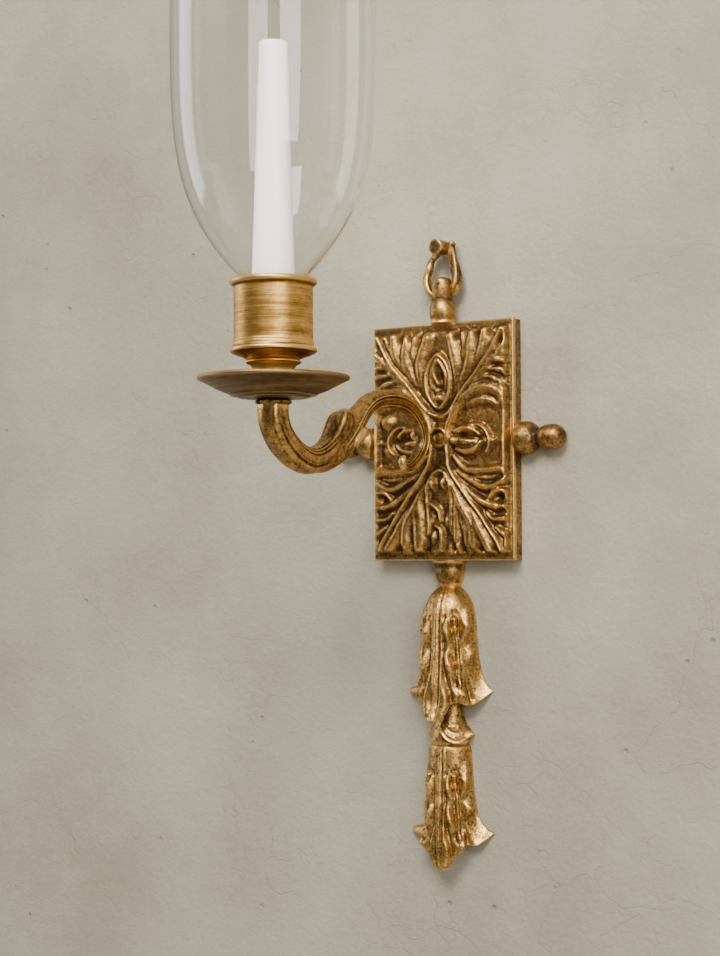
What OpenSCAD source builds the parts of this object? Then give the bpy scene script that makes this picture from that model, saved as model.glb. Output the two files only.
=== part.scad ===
// Single-arm wall sconce for one candle, in cast and turned gilt bronze with a glass storm shade.
// Origin: on the wall, behind the centre of the back plate. -Y points out into the room, +Z up.
// The drop, the side finials and the crest are half-round castings that lie flat on the wall.

/* [Back plate] */
// Width of the back plate
plate_w = 104; // [96:1:120]
// Height of the back plate
plate_h = 150; // [140:1:180]
// Distance from the wall to the front rim of the plate
plate_t = 10; // [10:0.5:12]
// Thickness of the relief panel at its rim
panel_t = 3; // [2.5:0.5:4]
// How far the acanthus relief stands above the rim
relief_h = 6; // [3:0.5:8]
// Distance between the two wall screw holes
screw_pitch = 88.9; // [70:0.1:100]
// Radius of the wall screw holes
screw_hole_r = 2.25; // [2:0.05:2.6]

/* [Arm and drip pan] */
// Distance from the wall to the candle's axis
reach = 185; // [175:1:195]
// Height of the arm's root above the middle of the plate
root_z = 2.7; // [0:0.1:6]
// Outer radius of the drip pan
pan_r = 42.5; // [38:0.5:46]
// Radius of the threaded nipple that clamps pan and cup
nipple_r = 4.9; // [4:0.1:5.5]

/* [Cup and candle] */
// Outer radius of the cup's barrel
barrel_r = 22.1; // [21.5:0.1:23]
// Radius of the candle's foot
candle_r = 12; // [11:0.1:12.2]
// Radius of the candle at its top
candle_top_r = 8; // [7:0.1:11]
// Height of the candle's flat top above the middle of the plate
candle_top_z = 214.8; // [180:0.2:240]
// Clearance round the candle in its socket
candle_gap = 0.3; // [0.2:0.05:0.5]

/* [Glass shade] */
// Outer radius of the shade where its sides run straight
shade_r = 57.6; // [50:0.2:62]
// Height of the shade from its foot to its lip
shade_h = 256; // [220:1:280]
// Thickness of the glass
glass_wall = 2.2; // [1.6:0.1:3]

/* [Hidden] */
$fn = 96;

gilt = "goldenrod";
gilt_dark = "darkgoldenrod";
gilt_light = "gold";
steel = "silver";

half_w = plate_w / 2;
half_h = plate_h / 2;
frame_t = plate_t - panel_t;        // depth of the back frame
frame_inset = 0.5;                  // step between the panel's lip and the frame
frame_border = 7;                   // width of the frame's border
window_w = plate_w - 2 * (frame_inset + frame_border);
window_h = plate_h - 2 * (frame_inset + frame_border);
big = 400;                          // larger than the sconce, for half-space cuts

// Small fastenings
fit_gap = 0.05;                     // radial gap between a thread and its tapped hole
screw_r = 1.25;                     // panel screws
screw_head_r = 2.4;
corner_x = half_w - frame_inset - frame_border / 2;
corner_z = half_h - frame_inset - frame_border / 2;
grub_r = 1.5;                       // grub screws that hold the plate to its bracket
grub_x = 30;
stud_r = 1.5;                       // studs of the finials, the crest and the drop
stud_y = -frame_t / 2;
stud_depth = 8;                     // how far a stud goes into its finial
arm_stud_r = 3;

// Heights up the cup, all on the candle's axis
pan_floor_z = 18.5;
foot_top_z = 37;
base_floor_z = 42;
base_top_z = 46.7;
socket_floor_z = 54;
socket_top_z = 72;
ledge_z = 68;                       // shelf inside the barrel that carries the shade
gasket_t = 2;
shade_z = ledge_z + gasket_t;
barrel_top_z = 82.1;
hole_r = nipple_r + fit_gap;

// ---------------------------------------------------------------- shapes shared by several parts

// A point on the smooth curve through the route p, between its points i and i + 1
function on_curve(p, i, t) =
    let (n = len(p) - 1, a = p[max(i - 1, 0)], b = p[i], c = p[i + 1], d = p[min(i + 2, n)])
    0.5 * (2 * b + (c - a) * t + (2 * a - 5 * b + 4 * c - d) * t * t
           + (3 * b - a - 3 * c + d) * t * t * t);

// The route made finer: steps points for each stretch
function smooth_route(p, steps) =
    concat([for (i = [0 : len(p) - 2], k = [0 : steps - 1]) on_curve(p, i, k / steps)],
           [p[len(p) - 1]]);

function unit(v) = v / norm(v);
function place(q) = [q[0], q[1], q[2]];

// Ring of points round point i of a route of [x, y, z, radius]
function ring(p, i, sides, side_dir) =
    let (t = unit(place(p[min(i + 1, len(p) - 1)]) - place(p[max(i - 1, 0)])),
         out = unit(cross(side_dir, t)), side = cross(t, out))
    [for (k = [0 : sides - 1])
        place(p[i]) + p[i][3] * (cos(360 * k / sides) * out + sin(360 * k / sides) * side)];

// Two triangles for each cell of a grid with the given number of rows and columns
function grid_faces(rows, cols, closed) =
    [for (i = [0 : rows - 2], j = [0 : closed ? cols - 1 : cols - 2], h = [0, 1])
        let (a = i * cols + j, b = i * cols + (j + 1) % cols, c = a + cols, d = b + cols)
        h == 0 ? [a, b, d] : [a, d, c]];

// The same faces seen from the other side
function turned_over(faces) = [for (f = faces) [for (k = [len(f) - 1 : -1 : 0]) f[k]]];

// Round bar along a route of [x, y, z, radius]
module bar(route, steps, sides, side_dir) {
    p = smooth_route(route, steps);
    n = len(p);
    points = concat([for (i = [0 : n - 1]) each ring(p, i, sides, side_dir)],
                    [place(p[0]), place(p[n - 1])]);
    near_cap = [for (k = [0 : sides - 1]) [n * sides, k, (k + 1) % sides]];
    far_cap = [for (k = [0 : sides - 1])
        [n * sides + 1, (n - 1) * sides + (k + 1) % sides, (n - 1) * sides + k]];
    polyhedron(points, concat(turned_over(grid_faces(n, sides, true)), near_cap, far_cap), convexity = 8);
}

// What lies in front of the wall
module wall_cut() {
    intersection() {
        children();
        translate([-big / 2, -big, -big]) cube([big, big, 2 * big]);
    }
}

// Moves its children onto the candle's axis
module on_candle_axis() translate([0, -reach, 0]) children();

// Cylinder along Y from y0 forward to y1, with y1 below y0
module rod_y(x, z, r, y0, y1) translate([x, y0, z]) rotate([90, 0, 0]) cylinder(r = r, h = y0 - y1);

module hex(across, h) cylinder(r = across / sqrt(3), h = h, $fn = 6);

// ---------------------------------------------------------------- back plate

relief_rows = 22;                   // rings of the relief from the stud hole out to the rim
short_steps = 20;                   // divisions of the panel's top and bottom edges
long_steps = 28;                    // divisions of its sides
relief_rim = 3;                     // width of the flat rim round the relief

// 0 at the rim, rising to 1 a few millimetres inside it
function rim_ramp(d) = min(1, max(0, d / 4));
function bump(dx, dz, wx, wz) = exp(-(dx * dx) / (wx * wx) - (dz * dz) / (wz * wz));

// Height of the relief above the rim: four fans of flutes round the middle, each with a bud
function relief_at(x, z) =
    let (r = norm([x, z - root_z]), a = atan2(abs(x), abs(z)),
         flutes = 0.5 + 0.5 * cos(a * 24),
         lobes = 1 - 0.35 * pow(sin(a * 2), 8),
         start = min(1, max(0, (r - boss_r - 2.5) / 20)),
         edge = rim_ramp(min(half_w - relief_rim - abs(x), half_h - relief_rim - abs(z))),
         buds = bump(abs(x) - 28, z, 11, 7) + bump(x, abs(z) - 30, 6, 13))
    relief_h * edge * min(1, start * (0.4 + 0.55 * flutes * lobes) + 0.7 * buds * min(1, 3 * start));

// Points round the panel's edge as [x, z], from its bottom left corner on
edge_points = concat(
    [for (k = [0 : short_steps - 1]) [-half_w + plate_w * k / short_steps, -half_h]],
    [for (k = [0 : long_steps - 1]) [half_w, -half_h + plate_h * k / long_steps]],
    [for (k = [0 : short_steps - 1]) [half_w - plate_w * k / short_steps, half_h]],
    [for (k = [0 : long_steps - 1]) [-half_w, half_h - plate_h * k / long_steps]]);

// The panel is one closed ring of rings: out over the relief, down the edge, back to the stud hole
module relief_body() {
    hole = arm_stud_r + fit_gap;
    cols = len(edge_points);
    middle = [0, root_z];
    inner = [for (e = edge_points) middle + hole * unit(e - middle)];
    front = [for (i = [0 : relief_rows - 1], j = [0 : cols - 1])
        let (p = inner[j] + (edge_points[j] - inner[j]) * i / (relief_rows - 1))
        [p[0], -plate_t - relief_at(p[0], p[1]), p[1]]];
    back_edge = [for (e = edge_points) [e[0], -frame_t, e[1]]];
    back_hole = [for (e = inner) [e[0], -frame_t, e[1]]];
    rows = relief_rows + 2;
    last = (rows - 1) * cols;
    through = [for (j = [0 : cols - 1], h = [0, 1])
        let (a = last + j, b = last + (j + 1) % cols, c = j, d = (j + 1) % cols)
        h == 0 ? [a, b, d] : [a, d, c]];
    polyhedron(concat(front, back_edge, back_hole),
        concat(grid_faces(rows, cols, true), through), convexity = 12);
}

module at_corners() for (sx = [-1, 1], sz = [-1, 1])
    translate([sx * corner_x, 0, sz * corner_z]) children();

module relief_panel() color(gilt) relief_body();

// Holes for the four studs: through the frame's border and into what is screwed on
module stud_holes(r, len_out) {
    for (s = [-1, 1]) {
        translate([s * (window_w / 2 - 1), stud_y, 0.5]) rotate([0, s * 90, 0])
            cylinder(r = r, h = len_out);
        translate([0, stud_y, s * (window_h / 2 - 1)]) rotate([s > 0 ? 0 : 180, 0, 0])
            cylinder(r = r, h = len_out);
    }
}

module back_frame() color(gilt_dark) difference() {
    translate([-half_w + frame_inset, -frame_t, -half_h + frame_inset])
        cube([plate_w - 2 * frame_inset, frame_t, plate_h - 2 * frame_inset]);
    translate([-window_w / 2, -frame_t - 1, -window_h / 2]) cube([window_w, frame_t + 2, window_h]);
    stud_holes(stud_r + fit_gap, frame_border + 2);
    at_corners() {
        rod_y(0, 0, screw_r + fit_gap, 1, -frame_t - 1);
        rod_y(0, 0, screw_head_r + 0.1, 1, -2);
    }
    for (s = [-1, 1]) translate([s * grub_x, stud_y, -half_h]) cylinder(r = grub_r + fit_gap, h = 10);
}

bracket_t = 2;
bracket_w = 76;
bracket_h = 2 * (window_h / 2 - 4);
lip_depth = frame_t - 0.5;

// Pressed steel strap with a lip along its top and bottom
module wall_bracket() color(steel) difference() {
    union() {
        translate([-bracket_w / 2, -bracket_t, -bracket_h / 2]) cube([bracket_w, bracket_t, bracket_h]);
        for (z = [-bracket_h / 2, bracket_h / 2 - bracket_t])
            translate([-bracket_w / 2, -lip_depth, z]) cube([bracket_w, lip_depth, bracket_t]);
    }
    rod_y(0, root_z, 10, 1, -bracket_t - 1);
    for (s = [-1, 1]) rod_y(0, s * screw_pitch / 2, screw_hole_r, 1, -bracket_t - 1);
    for (s = [-1, 1]) {
        translate([s * grub_x, stud_y, -bracket_h / 2 - 1]) cylinder(r = grub_r + fit_gap, h = bracket_t + 2);
        // room for the nuts of the crest and the drop
        translate([-5, -lip_depth - 1, s * bracket_h / 2 - 3]) cube([10, lip_depth + 2, 6]);
    }
}

module bracket_grub_screws() color(steel) for (s = [-1, 1])
    translate([s * grub_x, stud_y, -half_h + frame_inset]) difference() {
        cylinder(r = grub_r, h = half_h - frame_inset - bracket_h / 2 + bracket_t + 1);
        translate([-grub_r, -0.25, -1]) cube([2 * grub_r, 0.5, 2]);
    }

module panel_screws() color(steel) at_corners() {
    rod_y(0, 0, screw_r, -1, -frame_t - panel_t + 1.2);
    rod_y(0, 0, screw_head_r, -0.4, -2);
}

// ---------------------------------------------------------------- arm

boss_r = 7;
boss_front = -plate_t - 6;
boss_recess_r = 4;
boss_floor = -plate_t - 1.5;

module arm_boss() color(gilt_light) difference() {
    rod_y(0, root_z, boss_r, -plate_t - 0.05, boss_front);
    rod_y(0, root_z, boss_recess_r, boss_floor, boss_front - 1);
    rod_y(0, root_z, arm_stud_r + fit_gap, 0, boss_front);
}

module arm_stud() color(steel) {
    rod_y(0, root_z, arm_stud_r, -bracket_t, boss_floor);
    rod_y(0, root_z, boss_recess_r - 0.3, boss_floor, boss_floor - 1.2);
}

module arm_nut() color(steel) translate([0, -frame_t, root_z]) rotate([-90, 0, 0]) difference() {
    union() {
        cylinder(r = 8, h = 1);
        translate([0, 0, 1]) hex(10, 3);
    }
    translate([0, 0, -1]) cylinder(r = arm_stud_r + fit_gap, h = 6);
}

along = reach / 185;                // stretches the arm's route to the reach
function arm_route(p) = [for (q = p) [0, q[0] * along, q[1], q[2]]];

// Rear scroll, from under the leaf round to its curled tip: distance from the wall, height, radius
rear_points = [[-151, -19, 4.5], [-142, -18.5, 6], [-131, -14, 7.2], [-121, -8, 7.4],
               [-112, 0, 7], [-106, 7, 6.6], [-99, 14, 6.2], [-90, 19.5, 5.9], [-79, 22.3, 5.7],
               [-67, 23, 5.5], [-54, 21.5, 5.2], [-42.5, 16, 4.9], [-35, 8, 4.6],
               [-33, 0, 4.3], [-35, -6.5, 4], [-41.5, -13, 3.5], [-49, -17.5, 3],
               [-54, -17, 2.4], [-55.5, -13.5, 2], [-53, -11.5, 1.6]];

// Gusset that ties the back of the rear scroll to one side of the boss
gusset = [[-4, -35], [1, -33], [0, -29], [-3.9, -18], [-4.4, boss_floor], [-6.4, boss_floor], [-6.6, -20]];

module rear_scroll() color(gilt) {
    bar(arm_route(rear_points), 3, 12, [1, 0, 0]);
    translate([0, 0, root_z - 4.5]) linear_extrude(height = 8) polygon(gusset);
}

// Front scroll, from under the drip pan down and up into a rounded leaf
front_points = [[-185, 12, 8.5], [-185, 6, 8.5], [-183, 0, 8.5], [-179, -5.5, 8.4], [-173, -10.5, 8.3],
                [-165, -15, 8.2], [-155, -17.5, 8], [-146, -16.5, 7.6], [-137, -12.5, 7.4],
                [-128, -6.5, 8], [-121.5, 0.5, 9], [-118, 6.5, 8.6], [-116.5, 11, 6.2], [-116, 14, 2.5]];

module front_scroll() color(gilt) difference() {
    bar(arm_route(front_points), 3, 12, [1, 0, 0]);
    on_candle_axis() {
        translate([0, 0, 4]) cylinder(r = hole_r, h = 20);
        translate([0, 0, collar_z]) cylinder(r = 15, h = 10);
    }
}

collar_z = 12;
collar_top_z = 15;

module arm_collar() color(gilt) on_candle_axis() difference() {
    union() {
        translate([0, 0, collar_z]) cylinder(r = 9.4, h = collar_top_z - collar_z);
        for (k = [0 : 17]) rotate(20 * k) translate([9.2, 0, collar_z + 1.5]) sphere(r = 1.45, $fn = 24);
    }
    translate([0, 0, collar_z - 1]) cylinder(r = hole_r, h = 10);
}

// ---------------------------------------------------------------- drip pan and cup

// Body of revolution on the candle's axis, from points of [radius, height]
module turned(profile) on_candle_axis() rotate_extrude() polygon(profile);

rim = pan_r / 42.5;                 // the pan's outline grows with its radius

module drip_pan() color(gilt_dark) turned([
    [hole_r, collar_top_z], [11, collar_top_z], [19.5, 15.8], [20.6, 16.8], [23.7, 16.8],
    [24.6, 17.8], [31 * rim, 20.3], [36.3 * rim, 23.1], [40.2 * rim, 25.2], [pan_r - 0.4, 25.8],
    [pan_r, 26.3], [pan_r, 27.4], [pan_r - 0.6, 28], [pan_r - 2.2, 28], [38.5 * rim, 26.5],
    [35 * rim, 24.7], [30 * rim, 22], [22, pan_floor_z], [hole_r, pan_floor_z]]);

module cup_foot() color(gilt_light) turned([
    [hole_r, pan_floor_z], [13.5, pan_floor_z], [13.5, 20], [12, 22], [11.2, 26], [11.2, 29],
    [11.8, 32], [13, 34], [15, 34.8], [15.6, 35.5], [15.6, 36], [15, 36.6], [14, foot_top_z],
    [hole_r, foot_top_z]]);

module cup_base() color(gilt_light) turned([
    [hole_r, foot_top_z], [14.5, foot_top_z], [17, 38.2], [20.4, 39.4], [22.8, 40.3], [24, 40.9],
    [24.4, 41.6], [24.4, 42.9], [24, 43.6], [22.8, 44], [22.6, base_top_z],
    [19.5, base_top_z], [19.5, base_floor_z], [hole_r, base_floor_z]]);

module cup_barrel() color(gilt_light) turned([
    [19.8, base_top_z], [barrel_r + 0.3, base_top_z], [barrel_r, 48], [barrel_r, 77.4],
    [22.6, 78.2], [24, 78.8], [24.4, 79.6], [24.4, 80.9], [24, 81.6], [22.8, barrel_top_z],
    [20.4, barrel_top_z], [19.8, 81.4], [19.8, ledge_z], [17.2, ledge_z], [17.2, ledge_z - 3],
    [19.8, ledge_z - 6]]);

socket_r = candle_r + candle_gap;

module candle_socket() color(gilt) turned([
    [hole_r, base_top_z], [7.5, base_top_z], [7.5, 50], [socket_r + 1.3, 52.4],
    [socket_r + 1.3, socket_top_z], [socket_r, socket_top_z], [socket_r, socket_floor_z],
    [0, socket_floor_z], [0, 51], [hole_r, 51]]);

module cup_nipple() color(steel) on_candle_axis() translate([0, 0, 5]) cylinder(r = nipple_r, h = 45.5);

module cup_lock_nut() color(steel) on_candle_axis() translate([0, 0, base_floor_z]) difference() {
    union() {
        cylinder(r = 9.5, h = 1);
        translate([0, 0, 1]) hex(15, 3.5);
    }
    translate([0, 0, -1]) cylinder(r = hole_r, h = 8);
}

module shade_gasket() color("saddlebrown") turned([
    [15.2, ledge_z], [19.6, ledge_z], [19.6, shade_z], [15.2, shade_z]]);

// ---------------------------------------------------------------- glass shade and candle

shade_neck_r = 17.5;
shade_bell_h = 178;                 // height above its foot at which the bell reaches full width
neck_h = 12;

// Outer radius of the shade at height h above its foot: a straight neck, then a swelling bell
function shade_radius(h) =
    h <= neck_h ? shade_neck_r :
    h >= shade_bell_h ? shade_r :
    let (u = (h - neck_h) / (shade_bell_h - neck_h))
    shade_neck_r + (shade_r - shade_neck_r) * pow(1 - pow(1 - u, 4.5), 1.02);

shade_heights = concat([0], [for (k = [0 : 20]) neck_h + (shade_bell_h - neck_h) * pow(k / 20, 1.3)],
                       [shade_h - 1]);

module glass_shade() color("white", 0.35) turned(concat(
    [for (h = shade_heights) [shade_radius(h), shade_z + h]],
    [[shade_r - 0.6, shade_z + shade_h], [shade_r - glass_wall + 0.6, shade_z + shade_h]],
    [for (i = [len(shade_heights) - 1 : -1 : 0])
        [shade_radius(shade_heights[i]) - glass_wall, shade_z + shade_heights[i]]]));

wick_r = 0.9;
wick_up = 2;                        // how far the wick stands above the candle

module candle() color("ivory") turned([
    [wick_r + fit_gap, socket_floor_z], [candle_r - 0.6, socket_floor_z],
    [candle_r, socket_floor_z + 0.6], [candle_r, 83],
    [candle_top_r, candle_top_z - 0.7], [candle_top_r - 0.7, candle_top_z],
    [wick_r + fit_gap, candle_top_z]]);

module wick() color("linen") on_candle_axis() translate([0, 0, socket_floor_z + 0.5])
    cylinder(r = wick_r, h = candle_top_z + wick_up - socket_floor_z - 0.5);

// ---------------------------------------------------------------- crest, side finials

crest_y = -8.5;

module top_knob_body() wall_cut() translate([0, crest_y, 0]) rotate_extrude() polygon([
    [0, half_h], [7.6, half_h], [7.2, 76.2], [7.9, 78.5], [8.5, 81.5], [8.4, 84.5],
    [7.4, 87.8], [6.2, 89.8], [6.2, 90.6], [6.6, 93], [6.7, 96], [6.5, 99],
    [5.9, 102], [4.6, 104], [0, 104]]);

module top_knob() color(gilt) difference() {
    top_knob_body();
    stud_holes(stud_r + fit_gap, frame_border + 1 + stud_depth);
}

// Strands of the lyre-shaped loop: x, y, z, radius
left_strand = [[-6.2, -8.2, 93, 1.6], [-9.4, -8, 95.5, 2.4], [-12, -7.4, 100, 2.8], [-12.6, -6.8, 105, 2.7],
               [-10.8, -6.2, 112, 2.5], [-8.2, -5.4, 118, 2.3], [-3.8, -3.4, 122, 2]];
right_strand = [[6.2, -8.2, 93, 1.8], [8.2, -8, 95.5, 3], [9.4, -7.4, 100, 3.3], [9.4, -6.8, 105, 3.1],
                [7.8, -6.4, 112, 2.9], [5.8, -6, 118, 2.8], [4.8, -5.4, 123, 2.4], [5, -5, 127.5, 1.5]];

peg_z = 122.9;
peg_r = 5;
peg_stem_r = 2.4;
head_y = -7;                        // back of the peg's head
eye_r = 4.4;                        // eye behind the peg's head, where the loop hangs on its stem
eye_t = 4.6;

module top_loop() color(gilt) difference() {
    union() {
        bar(left_strand, 3, 8, [0, 1, 0]);
        bar(right_strand, 3, 8, [0, 1, 0]);
        rod_y(0, peg_z, eye_r, -0.2, -eye_t);
    }
    rod_y(0, peg_z, peg_stem_r + 0.1, 1, -eye_t - 1);
    rod_y(0, peg_z, peg_r + 0.1, head_y + 0.1, -20);
    top_knob_body();
}

module loop_peg() color(gilt_light) {
    rod_y(0, peg_z, peg_stem_r, 0, head_y);
    rod_y(0, peg_z, peg_r, head_y, -18.6);
}

// Ball and bud on one side of the plate; s is 1 for the right side and -1 for the left
module side_finial(s) difference() {
    wall_cut() translate([s * half_w, -5, 0.5]) rotate([0, s * 90, 0]) rotate_extrude() polygon([
        [0, -frame_inset], [6.6, -frame_inset], [8.8, 0.8], [10.2, 3.2], [10.5, 6], [9.9, 9.5],
        [8.2, 12.2], [6.2, 14], [5.7, 15], [6.1, 16.2], [7.2, 18.6], [7.9, 21.5], [8, 24.5],
        [7.5, 27.5], [6.2, 30.2], [4.2, 32.1], [2, 32.9], [0, 33]]);
    stud_holes(stud_r + fit_gap, frame_border + 1 + stud_depth);
    // the finial's foot goes under the panel's lip and meets the frame
    translate([-half_w, -plate_t - 8, -half_h]) cube([plate_w, plate_t + 8 - frame_t, plate_h]);
}

module left_finial() color(gilt) side_finial(-1);
module right_finial() color(gilt) side_finial(1);

module finial_studs() color(steel) difference() {
    stud_holes(stud_r, frame_border + stud_depth + 0.5);
    translate([-window_w / 2 + 2, -frame_t, -window_h / 2 + 2]) cube([window_w - 4, frame_t, window_h - 4]);
}

nut_t = 2.4;

module stud_nut() difference() {
    hex(5.5, nut_t);
    translate([0, 0, -1]) cylinder(r = stud_r + fit_gap, h = nut_t + 2);
}

module finial_nuts() color(steel) for (s = [-1, 1]) {
    translate([s * (window_w / 2 - nut_t / 2), stud_y, 0.5]) rotate([0, 90, 0])
        translate([0, 0, -nut_t / 2]) stud_nut();
    translate([0, stud_y, s * (window_h / 2 - nut_t / 2)]) rotate(30)
        translate([0, 0, -nut_t / 2]) stud_nut();
}

// ---------------------------------------------------------------- hanging drop

spine_w = 6;
spine_t = 2.5;
spine_top = -84;
spine_end = -246;
rivet_r = 1.2;
rivet_zs = [-87, -122, -180, -215];

channel_x = spine_w / 2 + 0.1;      // half the width of the channel that the spine lies in
channel_y = spine_t + 0.1;

module spine_space() translate([-channel_x, -channel_y, spine_end - 0.1])
    cube([2 * channel_x, channel_y + 1, spine_top - spine_end + 0.2]);

module rivet_holes() for (z = rivet_zs) rod_y(0, z, rivet_r + fit_gap, 0, -spine_t - 4);

module drop_spine() color(steel) difference() {
    translate([-spine_w / 2, -spine_t, spine_end]) cube([spine_w, spine_t, spine_top - spine_end]);
    rivet_holes();
}

module spine_rivets() color(steel) for (z = rivet_zs) rod_y(0, z, rivet_r, 0, -spine_t - 3.8);

module drop_neck() color(gilt) difference() {
    wall_cut() rotate_extrude() polygon([
        [0, -91], [7, -91], [7.4, -89.6], [9, -87], [10, -84], [10.3, -81], [10, -78.5], [10.6, -76.6],
        [12, -half_h], [0, -half_h]]);
    stud_holes(stud_r + fit_gap, frame_border + 1 + stud_depth);
    spine_space();
    rivet_holes();
}

husk_cols = 25;
husk_rows = 20;
back_wall = channel_y + 1.4;        // from the wall to the floor's edge in a husk's mouth

// One husk of open petals: a front petal and two side petals over a flat back, with a channel
// up the back for the spine. profile lists [height, radius] down the body; ends are
// [height, radius] at the rim of the front petal, of the side petals and between them; mouth is
// the [height, radius] of the flat floor of its hollow.
module husk(profile, front_end, side_end, gap_end, mouth) {
    top = profile[len(profile) - 1][0];
    arc = [for (j = [0 : husk_cols - 1]) -90 + 180 * j / (husk_cols - 1)];
    // each ring is the arc of the husk, closed by the four corners of the channel in its back
    body = [for (i = [0 : husk_rows - 1])
        let (t = i / (husk_rows - 1), back_z = top + (side_end[0] - top) * t)
        each concat([for (a = arc)
            let (petal = pow(abs(cos(2 * a)), 1.4), tip = abs(a) < 45 ? front_end : side_end,
                 end = gap_end * (1 - petal) + tip * petal,
                 z = top + (end[0] - top) * t, r0 = lookup(z, profile),
                 r = r0 + (end[1] - r0) * pow(t, 8))
            [r * sin(a), -r * cos(a), z]],
            [[channel_x, 0, back_z], [channel_x, -channel_y, back_z],
             [-channel_x, -channel_y, back_z], [-channel_x, 0, back_z]])];
    // the floor lies in front of the channel
    floor_ring = concat(
        [for (a = arc) [mouth[1] * sin(a), -back_wall - (mouth[1] - back_wall) * cos(a), mouth[0]]],
        [for (x = [2, 0.5, -0.5, -2]) [x + sign(x) * channel_x, -back_wall, mouth[0]]]);
    cols = husk_cols + 4;
    last = husk_rows * cols;
    top_cap = [for (j = [cols - 1 : -1 : 0]) j];
    floor_cap = [for (j = [0 : cols - 1]) last + j];
    polyhedron(concat(body, floor_ring),
        concat(grid_faces(husk_rows + 1, cols, true), [top_cap, floor_cap]), convexity = 10);
}

module upper_husk() color(gilt) husk(
    [[-180, 21], [-144, 20.2], [-130, 19.3], [-117, 18.6], [-108, 17.6], [-102, 16], [-96, 12.6],
     [-93, 9.6], [-91, 7]],
    [-175, 25], [-157, 30], [-164, 17], [-151, 10]);

module lower_husk() color(gilt) husk(
    [[-270, 17], [-232, 17], [-219, 16.1], [-205, 15.2], [-193, 14.4], [-190, 12.6]],
    [-268, 13], [-241, 30], [-248, 13], [-238, 9]);

module calyx() color(gilt) difference() {
    wall_cut() rotate_extrude() polygon([
        [0, -190], [12.4, -190], [13.6, -188], [17, -186], [17.6, -184], [15.4, -181], [11.6, -177],
        [9, -172], [8.2, -166], [8, -151.1], [0, -151.1]]);
    spine_space();
    rivet_holes();
    // room for the upper husk's back wall
    translate([-12, -back_wall - 0.1, -157.5]) cube([24, back_wall + 1, 8]);
}

relief_panel();
back_frame();
wall_bracket();
bracket_grub_screws();
panel_screws();
arm_boss();
arm_stud();
arm_nut();
rear_scroll();
front_scroll();
arm_collar();
drip_pan();
cup_foot();
cup_base();
cup_barrel();
candle_socket();
cup_nipple();
cup_lock_nut();
shade_gasket();
glass_shade();
candle();
wick();
top_knob();
top_loop();
loop_peg();
left_finial();
right_finial();
finial_studs();
finial_nuts();
drop_neck();
upper_husk();
calyx();
lower_husk();
drop_spine();
spine_rivets();
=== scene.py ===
# Looks for the wall sconce: cast and turned gilt bronze, glass shade, wax candle, plaster wall.
# Shapes are worked out in millimetres, in the CAD model's frame, and stored in metres.
import math
import bpy
import numpy as np
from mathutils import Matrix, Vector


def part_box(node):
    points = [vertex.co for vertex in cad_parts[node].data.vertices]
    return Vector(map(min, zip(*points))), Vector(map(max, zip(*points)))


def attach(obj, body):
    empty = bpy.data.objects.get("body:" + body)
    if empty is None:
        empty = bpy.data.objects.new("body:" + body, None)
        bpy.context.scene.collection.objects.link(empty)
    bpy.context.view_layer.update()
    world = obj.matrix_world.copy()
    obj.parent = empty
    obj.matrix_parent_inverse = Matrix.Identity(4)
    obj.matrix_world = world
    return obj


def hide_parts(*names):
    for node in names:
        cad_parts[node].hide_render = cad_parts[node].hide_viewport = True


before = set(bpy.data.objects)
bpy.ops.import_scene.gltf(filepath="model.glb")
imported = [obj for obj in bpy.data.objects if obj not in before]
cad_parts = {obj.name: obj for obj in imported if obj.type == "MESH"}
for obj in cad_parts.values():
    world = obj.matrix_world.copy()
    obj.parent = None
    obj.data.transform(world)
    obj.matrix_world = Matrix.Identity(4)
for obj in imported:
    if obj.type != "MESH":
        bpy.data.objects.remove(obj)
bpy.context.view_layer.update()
MM = 0.001
WALL_GAP = 0.00002                         # in metres: a casting's back stays this far off the wall


def box_mm(node):
    """Lowest and highest corner of a CAD node, in millimetres."""
    lo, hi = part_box(node)
    return np.array(lo) / MM, np.array(hi) / MM


HALF_W, _, HALF_H = box_mm("relief_panel")[1]
FRAME_Y = box_mm("back_frame")[0][1]       # front of the back frame
BOSS_LO, BOSS_HI = box_mm("arm_boss")
RIM_Y = BOSS_HI[1]                         # front of the plate's rim
ROOT_Z = (BOSS_LO[2] + BOSS_HI[2]) / 2     # height of the boss
AXIS_Y = sum(box_mm("cup_barrel"))[1] / 2  # where the candle's axis stands in front of the wall

# ---------------------------------------------------------------- numbers and curves


def spline(points, steps):
    """Smooth route through the points, with the given number of steps for each stretch."""
    p = np.asarray(points, float)
    q = np.vstack([2 * p[0] - p[1], p, 2 * p[-1] - p[-2]])
    t = np.linspace(0, 1, steps, endpoint=False)[:, None]
    parts = []
    for a, b, c, d in zip(q, q[1:], q[2:], q[3:]):
        parts.append(0.5 * (2 * b + (c - a) * t + (2 * a - 5 * b + 4 * c - d) * t ** 2
                            + (3 * b - a - 3 * c + d) * t ** 3))
    return np.vstack(parts + [p[-1:]])


def evenly(route, count=None, step=0.4):
    """The same route as points at equal distances: count of them, or about one step apart."""
    route = np.asarray(route, float)
    gaps = np.linalg.norm(np.diff(route[:, :3], axis=0), axis=1)
    s = np.concatenate([[0], np.cumsum(gaps)])
    at = np.linspace(0, s[-1], count or int(s[-1] / step) + 1)
    return np.stack([np.interp(at, s, column) for column in route.T], 1)


def rounded(profile, radius, steps=4):
    """Outline with each inner corner turned into a small curve."""
    p = np.asarray(profile, float)
    out = [p[0]]
    for a, b, c in zip(p, p[1:], p[2:]):
        before, after = np.linalg.norm(a - b), np.linalg.norm(c - b)
        start = b + (a - b) * min(radius, 0.45 * before) / before
        end = b + (c - b) * min(radius, 0.45 * after) / after
        for t in np.linspace(0, 1, steps):
            out.append((1 - t) ** 2 * start + 2 * t * (1 - t) * b + t ** 2 * end)
    out.append(p[-1])
    return np.array(out)


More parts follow.
